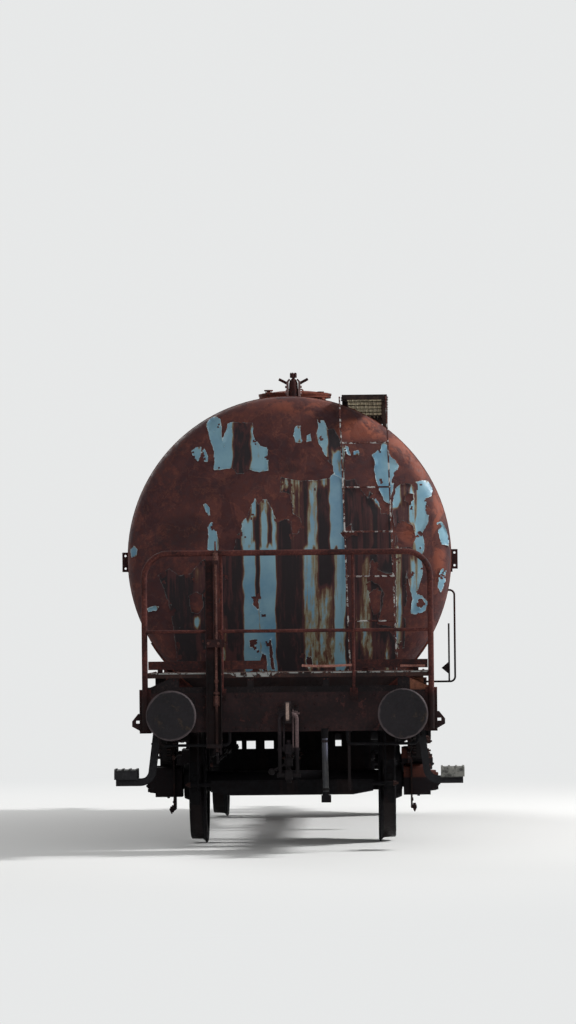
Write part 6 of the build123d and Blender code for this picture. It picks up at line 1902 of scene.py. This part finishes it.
@dataclass
class SoleBarFixings:
    """Rivets along the sole bars, with a blank plate and its frame on each side."""

    web_x: float = 0.964
    flange_x: float = 1.054
    rivet_z: tuple[float, float] = (0.985, 1.185)
    pitch: float = 0.36
    first_y: float = -4.05
    last_y: float = 4.05
    stiffener_y: tuple[float, ...] = (-1.6, 0.3, 2.1, -3.5)
    plate_y: tuple[float, float] = (-0.98, -0.58)
    plate_z: tuple[float, float] = (1.005, 1.165)

    def build_rivets(self) -> None:
        """Builds the rivets, the guards' nuts and the stiffeners."""
        bench = Bench()
        count = int((self.last_y - self.first_y) / self.pitch) + 1
        rivet_y = tuple(self.first_y + self.pitch * index for index in range(count))
        bench.fix(RIVET, self.web_x, rivet_y, self.rivet_z, RIGHT, 0.022)
        for axle_y, away in product((-2.5, 3.0), (0.09, 0.27, 0.46)):
            bench.fix(NUT, self.web_x, around(axle_y, away), (1.035, 1.135), RIGHT, 0.026)
        for y in self.stiffener_y:
            bench.box((self.web_x - 0.002, self.flange_x - 0.012), around(y, 0.005), (0.972, 1.204))
        bench.mirrored("X")
        bench.finish("sole_bar_fixings", "underframe", "underframe")

    def build_plates(self) -> None:
        """Builds the blank plates in their frames."""
        bench = Bench()
        (start, end), (low, high) = self.plate_y, self.plate_z
        front = self.web_x + 0.009
        bench.box((self.web_x - 0.001, self.web_x + 0.005), (start, end), (low, high))
        for y in (start, end):
            bench.box((self.web_x, front), around(y, 0.008), (low - 0.008, high + 0.008))
        for z in (low, high):
            bench.box((self.web_x, front), (start - 0.008, end + 0.008), around(z, 0.008))
        bench.fix(RIVET, front, self.plate_y, self.plate_z, RIGHT, 0.010)
        bench.mirrored("X")
        bench.finish("blank_plates", "plate", "worn_steel")

    def build(self) -> None:
        """Builds the rivets and the plates."""
        self.build_rivets()
        self.build_plates()


@dataclass
class RunningGear:
    """Cover bolts, lid hinges, spring clips and shackle nuts round each axle box."""

    axle_y: float
    name: str
    axle_z: float = 0.488
    cover_x: float = 1.14
    lid_x: float = 1.164
    spring_x: float = 1.003
    leaf_top: float = 0.728
    arc: float = 2.275

    def add_box_fixings(self, bench: Bench) -> None:
        """Adds the axle box's cover bolts, lid hinge and drain plug.

        Args:
            bench: The mesh under work.
        """
        y, z, cover = self.axle_y, self.axle_z, self.cover_x
        bench.fix(BOLT, cover, around(y, 0.096), (z + 0.038, z - 0.066), RIGHT, 0.026)
        hinge_z = z + 0.032
        bench.rod(*((cover + 0.009, end, hinge_z) for end in around(y, 0.052)), 0.0075)
        for ear in around(y, 0.036):
            spans = (cover, cover + 0.018), around(ear, 0.009), (hinge_z - 0.004, hinge_z + 0.011)
            bench.box(*spans, soften=0.002)
        bench.fix(BOLT, self.lid_x - 0.001, y, z - 0.034, RIGHT, 0.017)
        bench.fix(BOLT, 1.0, y + 0.06, 0.368, DOWN, 0.022)
        for rib in (-0.07, 0.0, 0.07):
            bench.box((0.90, 1.09), around(y + rib, 0.005), (0.606, 0.614))

    def add_spring_clips(self, bench: Bench) -> None:
        """Adds the clips round the leaves and the buckle's rivets.

        Args:
            bench: The mesh under work.
        """
        x = self.spring_x
        # Columns: distance from the axle, number of leaves under the clip
        for side, (away, leaves) in product(SIDES, ((0.37, 4), (0.49, 2))):
            top = self.leaf_top + self.arc - math.sqrt(self.arc**2 - away**2)
            y = self.axle_y + side * away
            lean = side * math.degrees(math.asin(away / self.arc))
            spans = around(x, 0.051), around(y, 0.013), (top - 0.012 * leaves - 0.005, top + 0.005)
            bench.box(*spans, soften=0.002, turn=lean)
            bench.fix(NUT, x + 0.051, y, top - 0.006 * leaves, RIGHT, 0.014)
        bench.fix(RIVET, x + 0.057, around(self.axle_y, 0.025), 0.676, RIGHT, 0.020)
        bench.fix(NUT, x, self.axle_y, 0.742, UP, 0.034)

    def add_guard_fixings(self, bench: Bench) -> None:
        """Adds the nuts on the shackle pins, and the tie bolts and rivets of the axle guard.

        Args:
            bench: The mesh under work.
        """
        for away, z in ((0.57, 0.804), (0.655, 0.699)):
            ends = around(self.axle_y, away)
            bench.fix(NUT, self.spring_x + 0.067, ends, z, RIGHT, 0.032)
            bench.fix(BOLT, self.spring_x - 0.067, ends, z, LEFT, 0.032)
        ties = around(self.axle_y, 0.152)
        bench.fix(NUT, 0.967, ties, 0.264, DOWN, 0.024)
        bench.fix(BOLT, 0.967, ties, 0.278, UP, 0.024)
        bench.fix(RIVET, 0.952, around(self.axle_y, 0.150), (0.33, 0.64, 0.76), RIGHT, 0.020)

    def build(self) -> None:
        """Builds both sides of one axle."""
        bench = Bench()
        self.add_box_fixings(bench)
        bench.mirrored("X")
        bench.finish(f"{self.name}_box_fixings", "axle_box", "cast_iron")
        bench = Bench()
        self.add_spring_clips(bench)
        self.add_guard_fixings(bench)
        bench.mirrored("X")
        bench.finish(f"{self.name}_spring_fixings", "bolts", "worn_steel")


@dataclass
class WheelRings:
    """Retaining rings, hub rims and plugs on one axle's wheels, which turn with it."""

    axle_y: float
    name: str
    axle_z: float = 0.488
    # Columns: x, radius, thickness and steps of each ring
    rings: tuple[tuple[float, float, float, int], ...] = (
        (0.815, 0.409, 0.0035, 72),
        (0.815, 0.443, 0.002, 72),
        (0.865, 0.128, 0.004, 48),
        (0.690, 0.128, 0.004, 48),
    )
    plug_radius: float = 0.215

    def build(self) -> None:
        """Builds both wheels' rings."""
        bench = Bench()
        for x, *ring in self.rings:
            bench.hoop((x, self.axle_y, self.axle_z), RIGHT, *ring)
        for z in around(self.axle_z, self.plug_radius):
            bench.hoop((0.790, self.axle_y, z), RIGHT, 0.026, 0.004, steps=24)
            bench.fix(BOLT, 0.788, self.axle_y, z, RIGHT, 0.020)
        bench.mirrored("X")
        bench.finish(f"{self.name}_wheel_rings", "wheel", "wheel_steel", f"{self.name}_wheelset")


@dataclass
class BrakeFixings:
    """Nuts on the brake pins, cylinder cover bolts, reservoir bands and pipe joints."""

    axles: tuple[float, ...] = (-2.5, 3.0)
    beam_offset: float = 0.591
    # Columns: x, z and width of each nut
    nuts: tuple[Point, ...] = ((0.80, 0.478, 0.034), (0.744, 0.895, 0.026), (0.05, 0.683, 0.022))
    cylinder: Point = (0.6, 0.536, 0.778)
    reservoir: Point = (-0.705, -0.9, 0.788)
    reservoir_radius: float = 0.14
    pipe_x: float = 0.277
    pipe_z: float = 0.896
    joint_y: tuple[float, ...] = (-4.1, -2.9, -1.0, 1.2)

    def build_rigging(self) -> None:
        """Builds the nuts of the hangers, beams and levers."""
        bench = Bench()
        beams = tuple(y for axle_y in self.axles for y in around(axle_y, self.beam_offset))
        for side, (x, z, size) in product(SIDES, self.nuts):
            bench.fix(NUT, side * x, beams, z, (side, 0, 0), size)
        bench.finish("brake_fixings", "bolts", "worn_steel")

    def build_air(self) -> None:
        """Builds the cylinder's bolts, the reservoir's bands and the pipe's joints."""
        bench = Bench()
        bench.ring_of(BOLT, 8, self.cylinder, AHEAD, 0.158, 0.024, turn=22.5)
        x, y, z = self.reservoir
        radius = self.reservoir_radius
        for away in (-0.244, 0.256):
            bench.hoop((x, y + away, z), BACK, radius, 0.005, sides=8, flat=4.0)
        for end in around(y, 0.352):
            bench.hoop((x, end, z), BACK, radius, 0.003)
        bench.fix(NUT, x, y, z - radius, DOWN, 0.034)
        for joint in self.joint_y:
            ends = ((self.pipe_x, end, self.pipe_z) for end in around(joint, 0.03))
            bench.rod(*ends, 0.0235, sides=6, soften=0.002)
        bench.finish("air_fixings", "underframe", "underframe")

    def build(self) -> None:
        """Builds the rigging's and the air gear's fixings."""
        self.build_rigging()
        self.build_air()


# Columns: left, right, low and high edge of each plate
STRETCHER_PLATES = (
    (-0.62, 0.62, 0.530, 0.655),
    (-0.62, -0.575, 0.655, 0.918),
    (-0.575, -0.515, 0.722, 0.918),
    (-0.515, -0.030, 0.655, 0.723),
    (0.030, 0.62, 0.655, 0.723),
    (-0.515, -0.471, 0.723, 0.918),
    (-0.471, 0.240, 0.796, 0.918),
    (-0.430, -0.390, 0.723, 0.796),
    (-0.317, -0.2435, 0.723, 0.796),
    (-0.1705, 0.332, 0.723, 0.796),
    (0.240, 0.332, 0.796, 0.868),
    (0.381, 0.62, 0.723, 0.918),
    (0.332, 0.381, 0.723, 0.739),
    (0.314, 0.381, 0.837, 0.918),
)


@dataclass
class Stretcher:
    """The built-up stretcher behind the front wheels, with gaps for the rods, hung from its bearer."""

    y: float = -1.70
    half: float = 0.006
    arm_x: tuple[float, float] = (0.40, 0.46)
    bearer_y: float = -1.95
    under_bearer: float = 0.918
    rivet_x: tuple[float, ...] = (-0.58, -0.48, -0.36, -0.21, -0.10, 0.10, 0.20, 0.43, 0.58)

    def build(self) -> None:
        """Builds the plates, their lower flange and the two arms."""
        bench = Bench()
        top = self.under_bearer
        for left, right, low, high in STRETCHER_PLATES:
            bench.box((left, right), around(self.y, self.half), (low, high), soften=0)
        bench.box((-0.62, 0.62), around(self.y, 0.03), (0.522, 0.532), soften=0.002)
        for side in SIDES:
            arm = tuple(side * x for x in self.arm_x)
            bench.box(arm, (self.bearer_y, self.y + self.half), (top - 0.010, top))
            bench.box(arm, (self.y - 0.016, self.y - self.half), (0.80, top))
            bench.fix(BOLT, sum(arm) / 2, self.y - 0.016, (0.825, 0.875), AHEAD, 0.022)
        bench.fix(RIVET, self.rivet_x, self.y - self.half, (0.56, 0.70), AHEAD, 0.018)
        bench.finish("frame_stretcher", "underframe", "underframe")


@dataclass
class OutletFixings:
    """Flange bolts, rim and handle gland of the bottom outlet."""

    mouth_x: float = 1.12
    y: float = -0.2
    z: float = 0.808
    bolt_circle: float = 0.074

    def build(self) -> None:
        """Builds one side's fixings and mirrors them."""
        bench = Bench()
        y, z = self.y, self.z
        bench.ring_of(BOLT, 8, (self.mouth_x - 0.020, y, z), LEFT, self.bolt_circle, 0.018, turn=22.5)
        bench.hoop((self.mouth_x, y, z), RIGHT, 0.0545, 0.0025, steps=32)
        for x, way in ((0.78, LEFT), (0.90, RIGHT)):
            bench.ring_of(BOLT, 6, (x, y, z), way, 0.073, 0.016)
        bench.hoop((0.84, y - 0.19, z), BACK, 0.017, 0.006, steps=20)
        bench.rod((0.84, y - 0.197, z), (0.84, y - 0.186, z), 0.021, sides=6, soften=0.002)
        bench.mirrored("X")
        bench.finish("outlet_fixings", "bolts", "underframe")


@dataclass
class StepFixings:
    """Bolts, nuts and tread rivets of the corner steps."""

    arm_x: float = 1.012
    arm_y: tuple[float, ...] = (-4.13, -3.95)
    bolt_z: tuple[float, float] = (0.933, 0.883)
    tread_x: tuple[float, ...] = (1.20, 1.31)

    def build(self) -> None:
        """Builds one side's fixings and mirrors them."""
        bench = Bench()
        for y in self.arm_y:
            bench.fix(BOLT, self.arm_x, y - 0.007, self.bolt_z, AHEAD, 0.022)
            bench.fix(NUT, self.arm_x, y + 0.007, self.bolt_z, BACK, 0.022)
            bench.fix(RIVET, self.tread_x, y - 0.007, 0.585, AHEAD, 0.014)
        bench.mirrored("X")
        bench.finish("step_fixings", "arm", "railing_rust")


@dataclass
class BrakeHose:
    """The hanging brake hose, along the CAD tube's own route, with its clamp rings."""

    route: tuple[Point, ...] = (
        (0.277, -4.350, 0.866),
        (0.277, -4.350, 0.764),
        (0.278, -4.354, 0.660),
        (0.280, -4.362, 0.556),
        (0.283, -4.373, 0.456),
    )
    radius: float = 0.0225

    def build(self) -> None:
        """Makes the hose as one smooth curve."""
        bench = Bench()
        bench.hoop((0.277, -4.350, 0.842), UP, self.radius, 0.005, steps=24, flat=2.0)
        bench.hoop((0.2822, -4.3705, 0.474), (0.01, -0.1, -1), self.radius, 0.005, steps=24, flat=2.0)
        clamps = bench.finish("hose_clamps", "coupling", "worn_steel")
        curve = bpy.data.curves.new("brake_hose_line", "CURVE")
        curve.dimensions = "3D"
        curve.bevel_depth = self.radius
        curve.bevel_resolution = 6
        curve.resolution_u = 16
        curve.use_fill_caps = True
        spline = curve.splines.new("NURBS")
        spline.points.add(len(self.route) - 1)
        for point, place in zip(spline.points, self.route):
            point.co = (*place, 1.0)
        spline.order_u = 3
        spline.use_endpoint_u = True
        hose = stand("brake_hose_line", curve)
        curve.materials.append(material_of("rubber"))
        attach(hose, WAGON)
        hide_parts("brake_hose")
        runs = zip(self.route, self.route[1:])
        length = sum((Vector(end) - Vector(start)).length for start, end in runs)
        log.info("brake hose: %.3f m long", length)


@dataclass
class Studio:
    """Pale floor that fades into the background, soft lamps and the camera at the photograph's place."""

    camera_place: Point = (0.75, -44.9, 1.818)
    camera_turn: Point = (91.10, 0.6, 1.051)
    lens: float = 186.5
    floor_size: float = 600.0
    floor_colour: Point = (0.70, 0.70, 0.69)
    backdrop: Point = (0.80, 0.81, 0.81)
    fade: tuple[float, float] = (4.0, 15.0)
    sky_strength: float = 0.32
    # Columns: name, place, target, side in metres and power in watts
    lamps: tuple[tuple[str, Point, Point, float, float], ...] = (
        ("side_key", (15.6, -0.4, 13.8), (0.0, -3.0, 1.8), 2.4, 4900.0),
        ("front_fill", (4.0, -24.0, 9.0), (0.0, -3.0, 1.6), 12.0, 1500.0),
        ("rear_fill", (-9.0, 18.0, 12.0), (0.0, 2.0, 1.5), 10.0, 2400.0),
    )

    def seen(self, w: Wiring) -> Signal:
        """Tells the rays that the camera sees, straight or in a mirror, from the light's own."""
        path = w.add("LightPath").outputs
        return w.math("MAXIMUM", Signal(w, path["Is Camera Ray"]), Signal(w, path["Is Glossy Ray"]))

    def build_floor(self) -> None:
        """Lays the pale floor under the wheels."""
        mesh = bpy.data.meshes.new("floor")
        bench = bmesh.new()
        bmesh.ops.create_grid(bench, x_segments=1, y_segments=1, size=self.floor_size)
        bench.to_mesh(mesh)
        bench.free()
        material = bpy.data.materials.new("floor")
        material.use_nodes = True
        w = Surface(material)
        w.shader.inputs["Base Color"].default_value = (*self.floor_colour, 1.0)
        w.shader.inputs["Roughness"].default_value = 0.9
        x, y, _ = w.split(w.place)
        away = w.math("SQRT", x * x + y * y)
        glow = w.add("Emission")
        glow.inputs["Color"].default_value = (*self.backdrop, 1.0)
        layers = (Signal(w, w.shader.outputs[0]), Signal(w, glow.outputs[0]))
        blend = w.signal("MixShader", (self.seen(w) * w.step(away, *self.fade), *layers))
        w.feed(material.node_tree.nodes["Material Output"].inputs["Surface"], blend)
        mesh.materials.append(material)
        stand("floor", mesh)

    def build_world(self) -> None:
        """Gives the world an even light, and shows the backdrop colour to the camera."""
        world = bpy.data.worlds.new("studio")
        bpy.context.scene.world = world
        world.use_nodes = True
        background = world.node_tree.nodes["Background"]
        background.inputs["Color"].default_value = (*self.backdrop, 1.0)
        w = Wiring(world.node_tree)
        w.feed(background.inputs["Strength"], self.seen(w) * (1.0 - self.sky_strength) + self.sky_strength)

    def build_lamps(self) -> None:
        """Hangs the large soft lamps."""
        for name, place, target, size, power in self.lamps:
            data = bpy.data.lights.new(name, "AREA")
            data.size = size
            data.energy = power
            lamp = stand(name, data)
            lamp.location = place
            lamp.rotation_euler = (Vector(target) - Vector(place)).to_track_quat("-Z", "Y").to_euler()

    def build_camera(self) -> None:
        """Stands the camera where the photograph was taken."""
        data = bpy.data.cameras.new("camera")
        data.lens = self.lens
        data.sensor_width = 36.0
        data.clip_end = 2000.0
        camera = stand("camera", data)
        camera.location = self.camera_place
        camera.rotation_euler = tuple(math.radians(angle) for angle in self.camera_turn)
        bpy.context.scene.camera = camera

    def build(self) -> None:
        """Builds the floor, the world, the lamps and the camera."""
        bpy.context.scene.view_settings.view_transform = "Standard"
        self.build_floor()
        self.build_world()
        self.build_lamps()
        self.build_camera()
        log.info("studio: floor, lamps and camera stand")


def main() -> None:
    """Builds the finishes, the pieces and the studio in order."""
    logging.basicConfig(level=logging.INFO, format="%(message)s")
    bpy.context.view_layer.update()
    for build_effect in (build_rust, build_runs, build_flakes, build_old_paint):
        build_effect()
    Studio().build()
    BrakeHose().build()
    dress_nodes()
    tank = (FrontPaint, TankWelds, ManholeFittings, ValvePost, Walkway, EndLadder)
    platform = (RailingJoints, LooseStrip, HandbrakeFixings, PlatformFixings)
    frame_parts = (HeadstockFixings, BufferFixings, CouplingFixings, SoleBarFixings)
    under = (BrakeFixings, Stretcher, OutletFixings, StepFixings)
    for part in (*tank, *platform, *frame_parts, *under):
        part().build()
    for name, axle_y in (("front", -2.5), ("rear", 3.0)):
        RunningGear(axle_y, name).build()
        WheelRings(axle_y, name).build()


if __name__ == "__main__":
    main()
